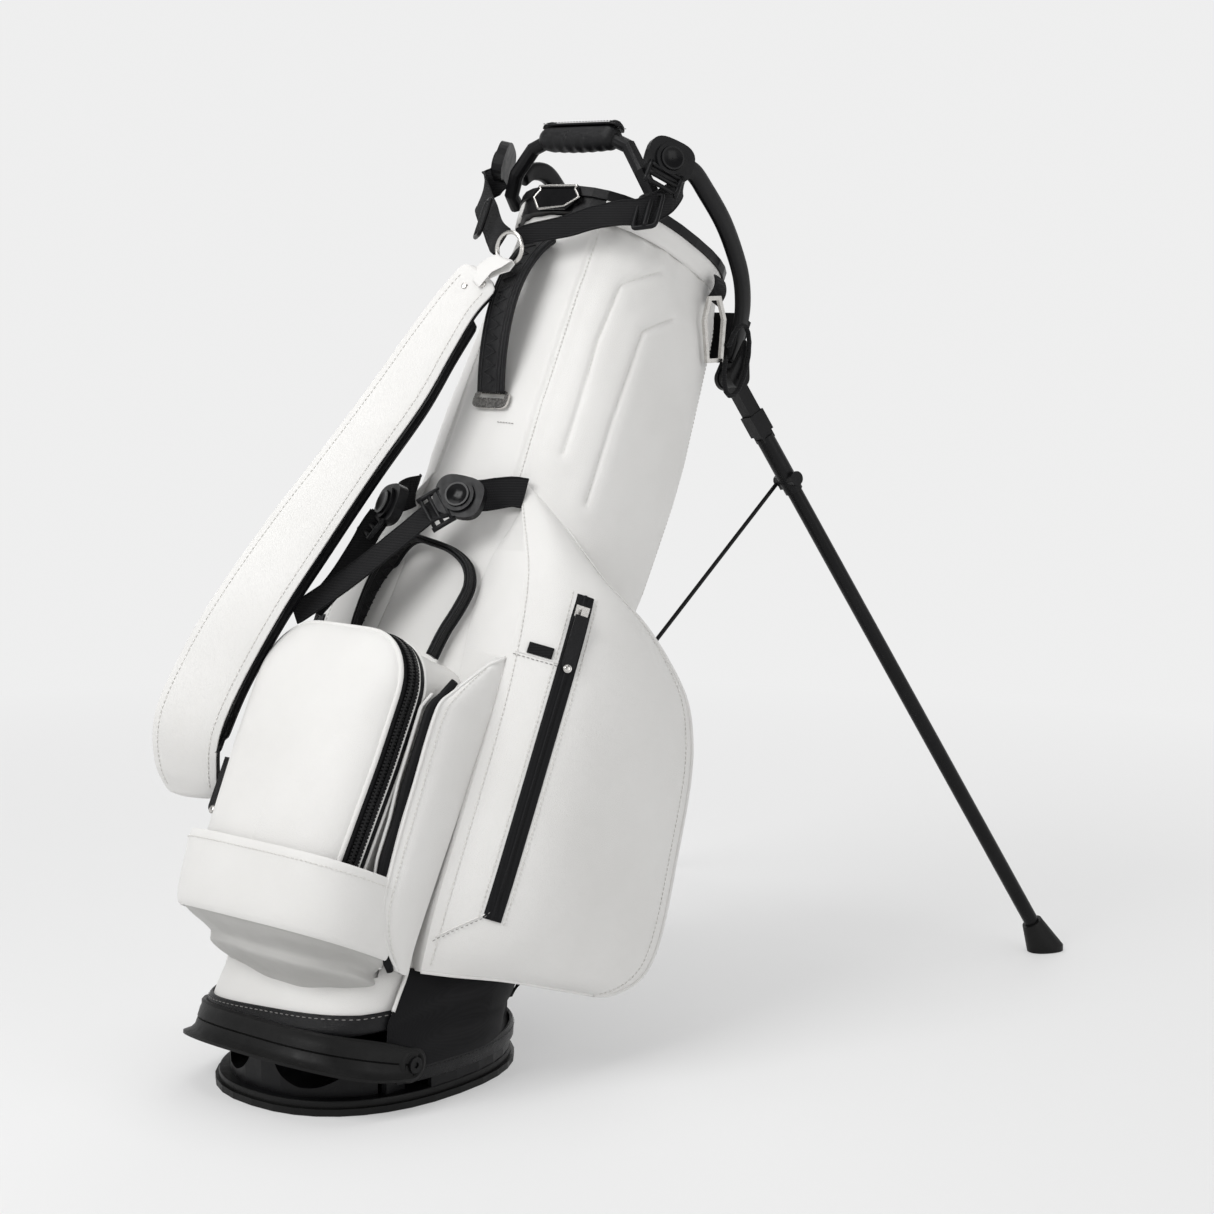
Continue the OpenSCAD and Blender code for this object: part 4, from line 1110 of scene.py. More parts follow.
def pad_frames(first, last, offset, trim):
    run = np.array(PAD_RUN[first:last], float)
    run[:, :3] += offset
    run[:, 3] -= trim
    data = spline(run, 4.0)
    _, side, up = frames(data[:, :3], PAD_HINT)
    return data[:, :3], data[:, 3], side, up


def pad_solid(name, frame_data, profile, look, replace=()):
    """A pad lofted from a profile of (share of half width, thickness in mm) points, rounded at both ends."""
    p, w, side, up = frame_data
    d = np.r_[0, np.cumsum(np.linalg.norm(np.diff(p, axis=0), axis=1))]
    rings = []
    for k in range(len(p)):
        end = min(d[k], d[-1] - d[k])
        round_end = math.sqrt(max(0.0, 1 - (1 - min(end / 10, 1)) ** 2)) * 0.42 + 0.58
        flat = 0.35 + 0.65 * math.sqrt(max(0.0, 1 - (1 - min(end / 6, 1)) ** 2))
        rings.append([p[k] + side[k] * (u * w[k] / 2 * round_end) + up[k] * (h * flat) for u, h in profile])
    o = loft(name, rings, look, replace=replace, sharp=55)
    return o


def crowned(edge_low, edge_high, crown, low_flat):
    """Section of a padded strap: a crowned face over a flat one."""
    u = np.sin(np.linspace(-math.pi / 2, math.pi / 2, 17))
    face = [(x, edge_high + crown * (1 - abs(x) ** 3.2)) for x in u]
    under = [(x, low_flat) for x in u[::-1]]
    return face + [(1.0, edge_low)] + under + [(-1.0, edge_low)]


def build_pads():
    """Both shoulder pads with their backings, edges, stitches and rivets, and the tab round the ring."""
    p, w, side, up = pad_frames(0, len(PAD_RUN), np.zeros(3), 0)
    # The pad's outward face looks away from the trunk
    facing = 1.0 if (up[len(up) // 2] @ np.array([-1.0, 0, 0])) > 0 else -1.0
    up = up * facing
    pad_solid("pad_outer_cover", (p, w, side, up), crowned(0.6, 1.2, 3.2, -0.6), WHITE,
              replace=("strap_pad_outer",))
    pad_solid("pad_outer_backing", (p, w + 1.6, side, up), crowned(-3.0, -1.0, 0.2, -4.2), BLACK_HIDE)
    for k, s in enumerate((-1, 1)):
        edge = p + side * (s * (w / 2 - 1.2))[:, None] + up * -0.4
        tube(f"pad_outer_edge_{k}", edge[2:-2], 1.25, BLACK_HIDE)
        crown = 1.2 + 3.2 * (1 - (1 - 13 / w) ** 3.2)
        seam = p + side * (s * (w / 2 - 6.5))[:, None] + up * crown[:, None]
        stitch_row(f"pad_outer_stitches_{k}", seam[4:-4], up[4:-4], THREAD, pitch=4.6, length=3.3)
    for k, (i, off) in enumerate(((2, -8), (5, 3))):
        dome(f"pad_rivet_{k}", p[i] + side[i] * off + up[i] * 3.6, up[i], 3.4, 1.6, STEEL)
    q, v, side2, up2 = pad_frames(1, len(PAD_RUN) - 2, np.array([14.0, 2, -4]), 8)
    up2 = up2 * facing
    pad_solid("pad_inner_cover", (q, v, side2, up2), crowned(0.6, 1.0, 2.6, -0.6), BLACK_HIDE,
              replace=("strap_pad_inner",))
    pad_solid("pad_inner_backing", (q, v + 1.4, side2, up2), crowned(-3.0, -1.0, 0.2, -4.0), BLACK_HIDE)
    head = p[0] + up[0] * 3.0 + np.array([1.5, -3, 7])
    tail = p[0] - up[0] * 3.0 + np.array([1.5, -2, 4])
    tab = spline(np.array([p[3] + up[3] * 3.4, p[1] + up[1] * 4.2, head, (-142.6, 3, 705), (-139.8, 2, 707.2),
                           (-137.2, 3, 704), tail]), 2)
    strap("pad_ring_tab", tab, 22, 2.0, [0, 1, 0.2], WHITE, step=2.5)


build_pads()

# ---------- webbing ----------

def webbing(name, points, width=28.0, hint=(0, 0, 1), replace=()):
    """A flat web with rolled selvages."""
    _, (p, side, _, w, _) = strap(name, points, width, 1.9, hint, WEB, step=4, replace=replace, round_edge=0.5,
                                  sharp=50)
    for k, s in enumerate((-1, 1)):
        tube(f"{name}_selvage_{k}", p + side * (s * (w / 2 - 0.9))[:, None], 1.15, WEB, sides=6)


webbing("upper_strap_near", [(-54, -99, 833), (-60, -103, 822), (-74, -105, 801), (-93, -101, 779),
                             (-104, -84, 772), (-110, -58, 764), (-117, -36, 752), (-128, -10, 740),
                             (-137, -2, 731)],
        width=[24, 25, 26, 26, 25, 24, 22, 19, 16], replace=("upper_webbing",))
webbing("upper_strap_far", [(-84, 99, 822), (-88, 106, 812), (-98, 101, 795), (-107, 83, 777), (-116, 62, 760),
                            (-126, 43, 744), (-136, 25, 731), (-139, 14, 725)])
webbing("lower_anchor_near", [(-92, -66, 502), (-97, -56, 501), (-104, -47, 496), (-113, -42, 490),
                              (-124, -36, 484)], replace=("lower_webbing",))
webbing("lower_anchor_far", [(-92, 68, 498), (-98, 60, 494), (-105, 60, 488), (-114, 60, 480), (-124, 55, 472)])
webbing("lower_tail_near", [(-133, -20, 470), (-138, -8, 461), (-147, 12, 430), (-160, 40, 387), (-174, 67, 350),
                            (-178, 74, 342)], hint=(0.3, 0.5, 1))
webbing("lower_tail_far", [(-134, 56, 455), (-136, 60, 441), (-139, 62, 422), (-146, 67, 388), (-158, 75, 352)],
        width=24, hint=(0.3, -0.9, 0.2))


def buckle_tongue(name, place, turn, drop):
    """Ladder lock under a buckle: three bars the webbing threads through, between two rails."""
    a = math.radians(turn)
    out = np.array([-math.cos(a), -math.sin(a), 0])
    centre = np.asarray(place, float) + np.asarray(drop, float)
    along = unit(np.asarray(drop, float))
    wide = unit(np.cross(along, out))
    for k, step in enumerate((-9, 0, 8)):
        c = centre + along * step
        bar = np.array([c - wide * 16, c - wide * 8, c + wide * 8, c + wide * 16])
        tube(f"{name}_bar_{k}", bar + out * 2.5, 2.1, PLASTIC)
    for k, s in enumerate((-1, 1)):
        c = centre + wide * (16 * s) + out * 2.5
        tube(f"{name}_rail_{k}", [c - along * 12, c - along * 4, c + along * 4, c + along * 11], 2.3, PLASTIC)


buckle_tongue("lower_lock_near", (-130, -28, 480), 22, (-7, 15, -17))
buckle_tongue("lower_lock_far", (-132, 50, 466), -22, (-2, 10, -22))
buckle_tongue("upper_lock_near", (-84, -101, 835), 60, (-4, -3, -22))

# ---------- leather handles ----------

def piped(name, edge, radius, sides=8):
    tube(name, edge, radius, BLACK_HIDE, sides=sides)


def zigzag(name, p, side, up, half, height, radius, cut):
    """A thread that swings from edge to edge of a handle's face."""
    saw = np.abs((np.arange(len(p)) * 0.5) % 2 - 1) * 2 - 1
    line = p + side * (saw * half)[:, None] + up * height
    tube(name, line[cut], radius, DARK_THREAD, sides=5, slot="black_leather")


def build_trunk_handle():
    """A bowed leather handle: padded face, piped edges and a zig-zag seam."""
    name = "trunk_handle_cover"
    t = np.linspace(0, 1, 11)[:, None]
    ends = np.array([(-100.5, 2, 746), (-147, 2, 690), (-103, 2, 592)])
    bow = ends[0] * (1 - t) ** 2 + ends[1] * 2 * t * (1 - t) + ends[2] * t ** 2
    _, (p, side, up, w, th) = strap(name, bow, 30, 8, [0, 1, 0], BLACK_HIDE, crown=0.3, step=3,
                                    replace=("trunk_handle",), sharp=60)
    if up[len(up) // 2] @ np.array([-1, 0, 0]) < 0:
        up = -up
    for k, s in enumerate((-1, 1)):
        piped(f"{name}_piping_{k}", p + side * (s * (w / 2 - 1.4))[:, None] + up * (th * 0.22)[:, None], 2.2)
        piped(f"{name}_rib_{k}", p + side * (s * (w / 2 - 5.4))[:, None] + up * (th * 0.5)[:, None], 0.9, 6)
    zigzag(f"{name}_zigzag", p, side, up, w / 2 - 8.5, (th * (0.5 + 0.15))[:, None], 0.75, slice(3, -3))


build_trunk_handle()
LOWER_HANDLE = np.array([
    (-88, 78, 340, 21), (-95, 74, 370, 22), (-100, 66, 408, 21), (-107, 48, 434, 17), (-113, 26, 443, 11),
    (-114, 4, 441, 8.5), (-111, -22, 436, 8.5), (-107, -41, 425, 9), (-105, -49, 408, 9.5), (-106, -47, 388, 10),
    (-109, -41, 362, 10), (-111, -38, 338, 10),
])


def build_lower_handle():
    """A leather strap in a loop over the slim panel, piped on both faces."""
    data = spline(LOWER_HANDLE, 3)
    p, w = data[:, :3], data[:, 3]
    _, side, up = frames(p, [1.0, 0.0, 0.12])
    sec = np.array([(-0.5, -1.6), (-0.5, 1.6), (-0.25, 2.4), (0, 2.6), (0.25, 2.4), (0.5, 1.6), (0.5, -1.6),
                    (0.25, -2.2), (0, -2.4), (-0.25, -2.2)])
    rings = p[:, None] + side[:, None] * (sec[None, :, 0:1] * w[:, None, None]) + up[:, None] * sec[None, :, 1:2]
    loft("lower_handle_cover", rings, BLACK_HIDE, replace=("lower_handle",), sharp=60)
    for k, s in enumerate((-1, 1)):
        for j, h in enumerate((-1.6, 1.6)):
            piped(f"lower_handle_piping_{k}_{j}", p + side * (s * (w / 2 - 0.4))[:, None] + up * h, 1.7)
    for j, h in enumerate((-2.7, 2.7)):
        zigzag(f"lower_handle_zigzag_{j}", p, side, up, w / 2 - 4.5, h, 0.8, slice(2, int(len(p) * 0.42)))


build_lower_handle()


def build_grip():
    """Stitched leather grip with a riveted flap, on the collar's arch."""
    arch_n = -99
    y = np.linspace(-44, 44, 61)
    sag = 851.5 - 1.0 * np.cos(y / 44 * math.pi / 2)
    sec_a = np.linspace(0, 2 * math.pi, 36, endpoint=False)
    rings = []
    for yy, ss in zip(y, sag):
        end = 1 - 0.30 * max(0.0, (abs(yy) - 36) / 8) ** 2
        r = (11.6 + 1.0 * math.cos(yy / 44 * math.pi / 2)) * end
        rings.append([(arch_n + r * math.cos(q), yy, ss + r * 0.94 * math.sin(q)) for q in sec_a])
    rings = np.array(rings)
    rings[..., 2] += 0.35 * np.sin(rings[..., 1] * 0.55) * (rings[..., 2] < 850)
    loft("grip_wrap", rings, BLACK_HIDE, replace=("handle_grip",))
    flap = []
    for yy in np.linspace(-46, 46, 47):
        k = 1 - max(0.0, (abs(yy) - 40) / 6) ** 2 * 0.5
        across = [(-9.5 * k, -2.6), (-9.2 * k, -1.0), (-6 * k, 0.9), (0, 1.6), (6 * k, 0.9), (9.2 * k, -1.0),
                  (9.5 * k, -2.6), (6 * k, -2.2), (0, -1.2), (-6 * k, -2.2)]
        drop = 0.9 * max(0.0, (abs(yy) - 34) / 10) ** 2
        flap.append([(arch_n + u, yy, 864.2 + h - drop) for u, h in across])
    loft("grip_flap", flap, BLACK_HIDE)
    for k, yy in enumerate((-38, 38)):
        dome(f"grip_stud_{k}", (arch_n, yy, 865.3), (0, 0, 1), 5.4, 3.0, BLACK_METAL)
    for k, n in enumerate((-7.2, 7.2)):
        row = np.array([(arch_n + n, yy, 864.9 - 0.9 * max(0.0, (abs(yy) - 34) / 10) ** 2)
                        for yy in np.linspace(-44, 44, 30)])
        stitch_row(f"grip_stitches_{k}", row, (0, 0, 1), DARK_THREAD, pitch=3.6, length=2.6, radius=0.4)


build_grip()

# ---------- foot ----------

PIVOT_X = -58.0
PLATE_N, PLATE_U = 133.0, 110.0  # half sizes of the outside of the foot plate's wall
PLATE_E = 2.3
BAND_N, BAND_U, BAND_E = 140, 119, 3.1


def build_band():
    """Flared U-shaped band that wraps the base: a raised middle, thin wings and two bosses."""
    reach = 139 + PIVOT_X
    rings = []
    for q in np.linspace(math.radians(90), math.radians(270), 181):
        c, d = math.cos(q), math.sin(q)
        n = BAND_N * signed1(c, 2 / BAND_E)
        y = BAND_U * signed1(d, 2 / BAND_E)
        if n > PIVOT_X:
            continue
        radial = unit(np.array([signed1(c, 1.3) * 0.84, d * abs(d) ** 0.3, 0]))
        ahead = (PIVOT_X - n) / reach
        tall = 12.0 + 4.5 * math.sin(ahead * math.pi * 0.9) + 2.0 * ahead ** 6
        lip = 2.2 + 2.6 * ahead + 3.0 * math.exp(-((y - 96) / 26) ** 2)
        sec = [(-5, -tall), (-1.5, -tall - 1), (0.4 + lip, -tall - 1.6), (1.2 + lip, -tall + 0.8),
               (0.4 + lip * 0.3, -tall + 5), (0.2, -tall * 0.45), (0.0, -1.2), (-0.9, -0.5), (0.5, 0.4),
               (0.8, tall * 0.45), (0.4, tall - 5), (1.4, tall - 2), (0.4, tall + 0.2), (-2.4, tall + 0.6),
               (-5, tall - 1), (-5.2, 0)]
        rings.append([np.array([n, y, (n - PIVOT_X) * (17 / reach) + h]) + radial * u for u, h in sec])
    loft("front_band_cover", rings, RUBBER, sharp=42, replace=("front_band",))
    boss = [(13, -9), (15.5, -8), (17, -5), (17, 3.5), (16.2, 6.0), (14.2, 7.6), (11.5, 8.4), (9.6, 7.4),
            (8.8, 5.8), (4, 5.6)]
    ang = np.linspace(0, 2 * math.pi, 48, endpoint=False)
    for k, s in enumerate((-1, 1)):
        rings = [[(PIVOT_X + r * math.cos(q), s * (107.5 + h), r * math.sin(q)) for q in ang] for r, h in boss]
        loft(f"band_boss_{k}", rings, RUBBER, sharp=40)


build_band()


def build_skirt():
    """Folding fabric between the trunk's back and the foot plate."""
    count = 171
    a = np.linspace(math.radians(-121), math.radians(114), count)
    n0, y0 = trunk_xy(a, np.full(count, 60.0))
    top_s = 84 + 0.36 * (n0 - PIVOT_X)
    tn, ty = trunk_xy(a, top_s, 2.6)
    top = to_world(np.stack([tn, ty, top_s], 1))
    calm = np.clip((n0 - 10) / 45, 0, 1)
    # The shoes press the fabric in at the two rear corners when the legs are folded
    pressed = np.exp(-((np.abs(y0) - 80) / 20) ** 2) * np.clip((n0 - 15) / 30, 0, 1)
    rn, ry = trunk_xy(a, np.full(count, 30.0), 8.0 - 6.0 * calm)
    ring = to_world(np.stack([rn, ry, ring_edge(rn) - 3], 1))
    ring[:, 2] = np.maximum(ring[:, 2], 0.047)
    low = np.column_stack([(PLATE_N + 1.4) * signed(np.cos(a), PLATE_E),
                           (PLATE_U + 1.4) * signed(np.sin(a), PLATE_E), np.full(count, 30.0)]) / 1000
    rows = []
    for t in np.linspace(0, 1, 46):
        if t < 0.5:
            k = t / 0.5
            mid = top * (1 - k) + ring * k
            swell = 0.0035 * (1 - calm) * math.sin(math.pi * k)
        else:
            k = (t - 0.5) / 0.5
            mid = ring * (1 - k) + low * k
            swell = (0.0045 - 0.014 * pressed) * math.sin(math.pi * k)
        out = unit(np.stack([mid[:, 0] - 0.02, mid[:, 1] * 1.15, np.zeros(count)], 1))
        fold = 0.0016 * np.sin(t * 15 + 2.6 * np.sin(a * 3.1) + a * 2)
        fold = fold * math.sin(math.pi * min(1, t * 1.1)) ** 0.7
        rows.append(mid + out * (swell + fold * (1 - 0.75 * calm))[:, None])
    rows = np.array(rows)
    inward = unit(np.stack([rows[..., 0] - 0.02, rows[..., 1], np.zeros(rows.shape[:2])], -1))
    verts = np.concatenate([rows, (rows - inward * 0.0018)[::-1]], 0)
    r, c = verts.shape[:2]
    faces = grid_faces(r, c, wrap_rows=True)
    faces.append([i * c for i in range(r)])
    faces.append([i * c + c - 1 for i in reversed(range(r))])
    o = piece("base_skirt", verts.reshape(-1, 3), faces, FABRIC, body=None, world=True)
    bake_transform(o)
    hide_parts("rear_gusset")
    for k, column in enumerate((0, -1)):
        tube(f"skirt_piping_{k}", even(to_bag(rows[:18, column]), 2), 1.7, WHITE)


build_skirt()


def build_plate_binding():
    """Sewn edge that fixes the folding fabric to the foot plate."""
    count = 150
    a = np.linspace(math.radians(-116), math.radians(116), count)
    n = (PLATE_N + 2.0) * signed(np.cos(a), PLATE_E)
    y = (PLATE_U + 2.0) * signed(np.sin(a), PLATE_E)
    out = unit(np.stack([np.cos(a), np.sin(a) * 1.1, np.zeros(count)], 1))
    mid = np.stack([n, y, np.full(count, 29.0)], 1)
    section = [(-2, -7), (0.4, -7.4), (1.4, -6), (1.7, 0), (1.4, 6), (0.4, 7.4), (-2, 7)]
    rings = [[mid[k] + out[k] * u + np.array([0, 0, h]) for u, h in section] for k in range(count)]
    loft("plate_binding", np.array(rings) / 1000, BLACK_HIDE, body="foot", world=True, sharp=50)
    seam = to_bag((mid + out * 1.7 + np.array([0, 0, 3.2])) / 1000)
    stitch_row("plate_binding_stitches", seam, to_bag(out / 1000) - to_bag(np.zeros(3)), DARK_THREAD,
               pitch=5.0, length=3.0, radius=0.35, body="foot")


build_plate_binding()


def build_plate_trim():
    """Rolled rim round the foot plate's sole."""
    count = 160
    a = np.linspace(0, 2 * math.pi, count, endpoint=False)
    n = 131.5 * signed(np.cos(a), PLATE_E)
    y = 108.6 * signed(np.sin(a), PLATE_E)
    ring = np.stack([n, y, np.full(count, 7.5)], 1)
    out = np.cross(unit(np.roll(ring, -1, 0) - np.roll(ring, 1, 0)), [0, 0, 1.0])
    section = [(0.2, -4.5), (1.8, -4.2), (2.6, -2.4), (2.3, 0), (2.6, 2.4), (1.8, 4.2), (0.2, 4.5), (-0.6, 0)]
    rings = [[ring[k] + out[k] * u + np.array([0, 0, h]) for u, h in section] for k in range(count)]
    loft("sole_rim", np.array(rings) / 1000, RUBBER, close=True, body="foot", world=True, sharp=50)


build_plate_trim()

# ---------- back cushion, loops, badge ----------

CLOTH_STEPS = 20
CUSHION_LOW, CUSHION_HIGH = 152, 428


def swell(o, voxel, pressure, cap):
    """Puffs a closed sewn cover with a short cloth run under pressure; movement is capped, gravity off."""
    skin = o.modifiers.new("skin", "REMESH")
    skin.mode = "VOXEL"
    skin.voxel_size = voxel
    mesh = evaluated(o)
    o.modifiers.clear()
    o.data = mesh
    start = np.array([v.co for v in mesh.vertices])
    cloth = o.modifiers.new("cloth", "CLOTH")
    cloth.settings.use_pressure = True
    cloth.settings.uniform_pressure_force = pressure
    cloth.settings.effector_weights.gravity = 0
    cloth.settings.tension_stiffness = 25
    cloth.settings.bending_stiffness = 1.5
    scene = bpy.context.scene
    for step in range(1, CLOTH_STEPS + 1):
        scene.frame_set(step)
    moved = np.array([v.co for v in evaluated(o).vertices]) - start
    far = np.linalg.norm(moved, axis=1, keepdims=True)
    moved *= np.minimum(1, cap / np.maximum(far, 1e-9))
    o.modifiers.clear()
    mesh.vertices.foreach_set("co", (start + moved).reshape(-1))
    for poly in mesh.polygons:
        poly.use_smooth = True
    mesh.update()
    scene.frame_set(1)
    smooth = o.modifiers.new("smooth", "SUBSURF")
    smooth.levels = smooth.render_levels = 1


def build_hip_pad():
    """Crowned back cushion with sewn channels; its swelling is simulated as cloth under pressure."""
    cols, rows = 40, 90
    top = []
    for t in np.linspace(0, 1, rows):
        s = CUSHION_LOW + (CUSHION_HIGH - CUSHION_LOW) * t
        end = min(t, 1 - t)
        wide = 46 * math.sqrt(max(0.0, 1 - (1 - min(end / 0.14, 1)) ** 2)) ** 0.8 + 2
        row = []
        for q in np.linspace(-1, 1, cols):
            rim = (1 - abs(q) ** 4) * min(1.0, end / 0.05)
            channel = 1 - 0.45 * math.exp(-(((t * 5) % 1 - 0.5) / 0.06) ** 2) * (0.1 < t < 0.9)
            row.append((trunk_back(q * wide, s) + 1.0 + 13.5 * rim * channel, q * wide, s))
        top.append(row)
    top = np.array(top)
    back = top.copy()
    back[..., 0] = trunk_back(back[..., 1], back[..., 2]) + 0.6
    verts = np.vstack([top.reshape(-1, 3), back.reshape(-1, 3)])
    off = rows * cols
    faces = grid_faces(rows, cols) + grid_faces(rows, cols, flip=True, start=off)
    for i in range(rows - 1):
        a, b = i * cols, (i + 1) * cols
        faces.append((a, b, off + b, off + a))
        a, b = a + cols - 1, b + cols - 1
        faces.append((a, off + a, off + b, b))
    for j in range(cols - 1):
        faces.append((j, off + j, off + j + 1, j + 1))
        k = off - cols + j
        faces.append((k, k + 1, off + k + 1, off + k))
    o = piece("back_cushion", verts, faces, FABRIC, replace=("hip_pad",))
    swell(o, voxel=0.0045, pressure=4.0, cap=0.006)
    edge = np.vstack([top[:, 0], top[::-1, -1], top[:1, 0]]) + np.array([1.0, 0, 0])
    tube("back_cushion_piping", even(edge, 3)[:-1], 1.8, BLACK_HIDE, close=True)


build_hip_pad()


def build_badge_frame():
    """Nickel rim round the plain badge plate."""
    pts = node_points("collar_badge")
    face = pts[pts[:, 0] < pts[:, 0].min() + 0.6]
    centre = face.mean(0)
    rel = face - centre
    ring = rel[np.argsort(np.arctan2(rel[:, 2], rel[:, 1]))]
    keep = [ring[0]]
    for q in ring[1:]:
        if np.linalg.norm(q - keep[-1]) > 4:
            keep.append(q)
    path = even(np.array(keep + keep[:1]), 1.5)[:-1] * np.array([1, 0.98, 0.98]) + centre
    tube("badge_rim", path, 1.1, STEEL, close=True)


build_badge_frame()


def build_towel_loop():
    """Fuzzy loop that holds the towel clip."""
    pts = node_points("towel_loop")
    lo, hi = pts.min(0), pts.max(0)
    mid, size = (lo + hi) / 2, hi - lo
    path = [(mid[0], mid[1], hi[2] - 1), (mid[0], lo[1] + 0.5, hi[2] - size[2] * 0.25),
            (mid[0], lo[1] - 1.0, mid[2]), (mid[0], lo[1] + 0.5, lo[2] + size[2] * 0.25),
            (mid[0], mid[1], lo[2] + 1)]
    strap("towel_loop_cover", path, size[0], 2.6, [1, 0, 0], LOOP_PILE, step=2, replace=("towel_loop",), crown=0.3)


build_towel_loop()


def dress(o, look, body="bag"):
    """Gives a copied mesh its look and body."""
    o.data.materials.clear()
    o.data.materials.append(look)
    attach(o, body)


def build_cord_loop():
    """The cord loop rebuilt as an even skin with rounded edges and a light, uneven swell."""
    o = link("cord_loop_cover", NODES["accessory_loop"].data.copy())
    skin = o.modifiers.new("skin", "REMESH")
    skin.mode = "VOXEL"
    skin.voxel_size = 0.0009
    o.modifiers.new("ease", "SMOOTH").iterations = 3
    done = evaluated(o)
    o.modifiers.clear()
    o.data = done
    done.name = "cord_loop_cover"
    co = np.array([v.co for v in done.vertices])
    nrm = np.array([v.normal for v in done.vertices])
    co += nrm * (0.0003 * (1 + 0.5 * ripple(co * 1000, 30, 1.1)))[:, None]
    done.vertices.foreach_set("co", co.reshape(-1))
    for poly in done.polygons:
        poly.use_smooth = True
        poly.material_index = 0
    done.update()
    dress(o, WEB)
    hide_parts("accessory_loop")


build_cord_loop()

# ---------- zip pulls and small hardware ----------

for name, node_name, out in (("near", "side_pull_near", (-0.62, -0.78, 0)),
                             ("far", "side_pull_far", (-0.62, 0.78, 0)), ("front", "ball_pull", (-1, 0, 0))):
    pts = node_points(node_name)
    low_end = pts[pts[:, 2] < pts[:, 2].min() + 12].mean(0)
    dome(f"pull_rivet_{name}", low_end + unit(out) * 1.3, out, 3.0, 1.4, STEEL, body=node_name)

# ---------- top: arms, webbing locks, leather up to the rim ----------

def build_arms():
    """Hinge arms as one smooth sweep each, and the back plate with its ears kept from the CAD."""
    plate = NODES["hinge_housing"].data.copy()
    bm = bmesh.new()
    bm.from_mesh(plate)
    for s in (729.0, 765.0):
        bmesh.ops.bisect_plane(bm, geom=bm.verts[:] + bm.edges[:] + bm.faces[:],
                               plane_co=tuple(to_world(np.array([104.0, 0, s]))),
                               plane_no=tuple(bag_dir((0, 0, 1))))
    gone = []
    for f in bm.faces:
        n, y, s = to_bag(np.array(f.calc_center_median()))
        if (s > 765 and n < 101) or s > 772.5 or (s > 765 and abs(y) > 85):
            gone.append(f)
    bmesh.ops.delete(bm, geom=gone, context="FACES")
    bm.to_mesh(plate)
    bm.free()
    o = link("hinge_back_plate", plate)
    dress(o, PLASTIC)
    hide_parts("hinge_housing")
    sweep = [(-66, 88, 828), (-56, 89, 842), (-36, 89.5, 849), (-10, 90, 842), (24, 90, 830), (54, 89, 814),
             (78, 88, 796), (95, 86.5, 772), (103, 84, 746), (106, 82, 724)]
    for k, side in enumerate((-1, 1)):
        strap(f"hinge_arm_{k}", [(n, side * y, s) for n, y, s in sweep], [14, 17, 19, 20, 20, 20, 20, 20, 19, 15],
              [8, 9, 9, 9, 9, 9, 9, 9, 9, 7], [0.3, 0.0, 1.0], PLASTIC, step=3, round_edge=0.35, crown=0.1)


build_arms()


def build_glide(name, place, across, along, wide, tall):
    """Three-bar glide: a rounded frame with a middle bar the webbing loops round."""
    across, along, place = unit(np.array(across, float)), unit(np.array(along, float)), np.array(place, float)
    out = np.cross(across, along)
    loop = [place + across * (wide / 2 * signed1(math.cos(q), 0.28))
            + along * (tall / 2 * signed1(math.sin(q), 0.28))
            for q in np.linspace(0, 2 * math.pi, 64, endpoint=False)]
    o = tube(f"{name}_frame", loop, 2.1, PLASTIC, close=True, sides=10)
    bar = [place + along * (tall / 2 * k) + out * 0.6 for k in np.linspace(-0.95, 0.95, 9)]
    tube(f"{name}_bar", bar, 2.4, PLASTIC, sides=10)
    return o


glide_near = build_glide("glide_near", (-93, -103.5, 779), (0.55, -0.75, 0.42), (0.15, 0.2, 1), 21, 36)
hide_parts("tri_glides")
build_glide("glide_far", (-129, 58, 754), (-0.6, -0.8, -0.1), (0, 0, 1), 24, 36)


def build_second_slider():
    """Second slider of the front pocket's zip with its leather pull."""
    for name, node_name, look, slot, shift in (
            ("front_slider_b", "ball_slider", STEEL, "steel", (1.0, -6.0, 46.0)),
            ("front_pull_b", "ball_pull", BLACK_HIDE, "black_leather", (-9.0, 12.0, 50.0))):
        mesh = NODES[node_name].data.copy()
        o = link(name, mesh)
        co = np.array([v.co for v in mesh.vertices]) + bag_dir(shift)
        mesh.vertices.foreach_set("co", co.reshape(-1))
        dress(o, look)


build_second_slider()


def build_rim_leather():
    """Trunk leather carried up over the collar's lower band, open in front of the badge."""
    half_n, half_u = 102, 86
    rings = []
    for q in np.linspace(math.radians(-150), math.radians(150), 200):
        c, d = math.cos(q), math.sin(q)
        radial = unit(np.array([c / half_n, d / half_u, 0]))
        dip = 3 * max(0.0, c) ** 2
        sec = [(-1.0, 770), (0.8, 770), (1.5, 776), (1.8, 784), (1.6, 790 - dip), (0.6, 791.5 - dip),
               (-1.0, 791 - dip)]
        at = np.array([half_n * signed1(c, 0.8), half_u * signed1(d, 0.8), 0])
        rings.append([at + radial * u + np.array([0, 0, s]) for u, s in sec])
    loft("rim_leather", rings, WHITE)


build_rim_leather()


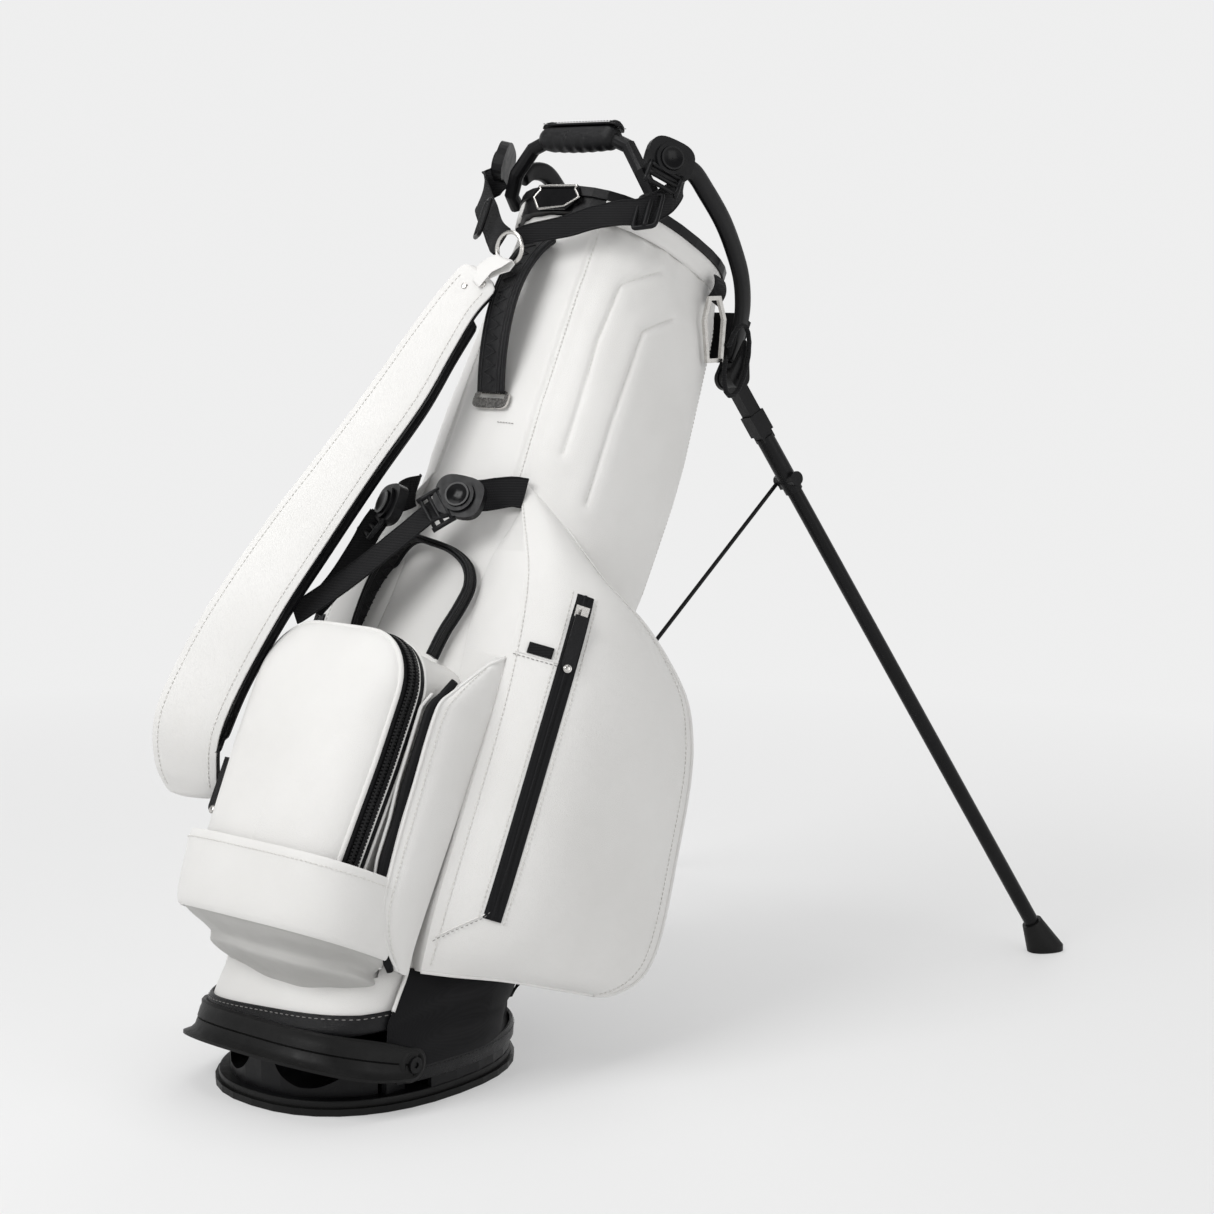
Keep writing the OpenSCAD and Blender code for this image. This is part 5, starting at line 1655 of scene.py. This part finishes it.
def build_label(side, flip):
    """Plain woven tab and top-stitched seams on a side pocket."""
    skin = surface_tree(bpy.data.objects[f"side_pocket_cover_{side}"])
    tab, _ = lay_on(skin, np.array([(-82, -120, 363), (-75, -140, 363)], float) * flip, 1.0, 2)
    strap(f"side_label_{side}", tab, 10, 1.6, [0, 0, 1], WEB, step=2)
    for j, line in enumerate((
            [(-85, -110, 357), (-78, -130, 357), (-71, -148, 357)],
            [(-105, -140, 100), (-102, -158, 113), (-82, -168, 131), (-76, -172, 145)])):
        seam, nrm = lay_on(skin, np.array(line, float) * flip, 0.1, 2)
        tube(f"side_seam_{side}_{j}", seam, 0.7, WHITE, sides=6)
        stitch_row(f"side_seam_stitches_{side}_{j}", seam + np.array([0, 0, -3.0]), nrm, GREY_THREAD, length=2.8)


build_label("near", np.array([1, 1, 1]))
build_label("far", np.array([1, -1, 1]))


def build_panel_zip():
    """Black zip and white piping between the front pocket and the slim panel beside it."""
    run = np.array([(-139, -100, 312), (-146, -98, 296), (-153, -97, 282), (-152, -97, 250), (-151, -97, 216),
                    (-147, -97, 184), (-146, -97, 150), (-140, -98, 122), (-133, -100, 102), (-122, -101, 82),
                    (-108, -103, 66)], float)
    strap("panel_zip", run, [7, 8, 9, 10, 11, 13, 14, 13, 12, 10, 6], 4.5, [0.65, -0.75, 0], ZIP_TAPE,
          step=3, crown=0.3)
    edge = even(run[1:] + np.array([-4.5, 7.5, 0]), 3)
    tube("panel_zip_piping", edge, 1.7, WHITE)
    tube("panel_zip_piping_far", mirror(edge), 1.7, WHITE)


build_panel_zip()

# Short bar of stitches below the trunk handle's bracket
path, nrm = trunk_line([(-131, -16, 566), (-124, -36, 566)], step=2, grow=0.3)
stitch_row("bracket_stitches", path, nrm, GREY_THREAD, pitch=3.4, length=2.4)


def build_zip_side():
    """Second half of the front pocket's zip tape, on the pocket's side, with white piping behind it."""
    strap("front_zip_side", at_depth(arch(1.0, 220), -161), 13, 2.2, [1, 0, 0], ZIP_TAPE, step=5, round_edge=0.2)
    tube("front_zip_side_piping", even(at_depth(arch(1.6, 220), -153.5), 3), 1.7, WHITE)
    rim = arch(2.0, 400)
    teeth("front_zip_side_teeth", at_depth(rim, -165), outline_normals(rim), wide=5.0, tall=1.0)


build_zip_side()
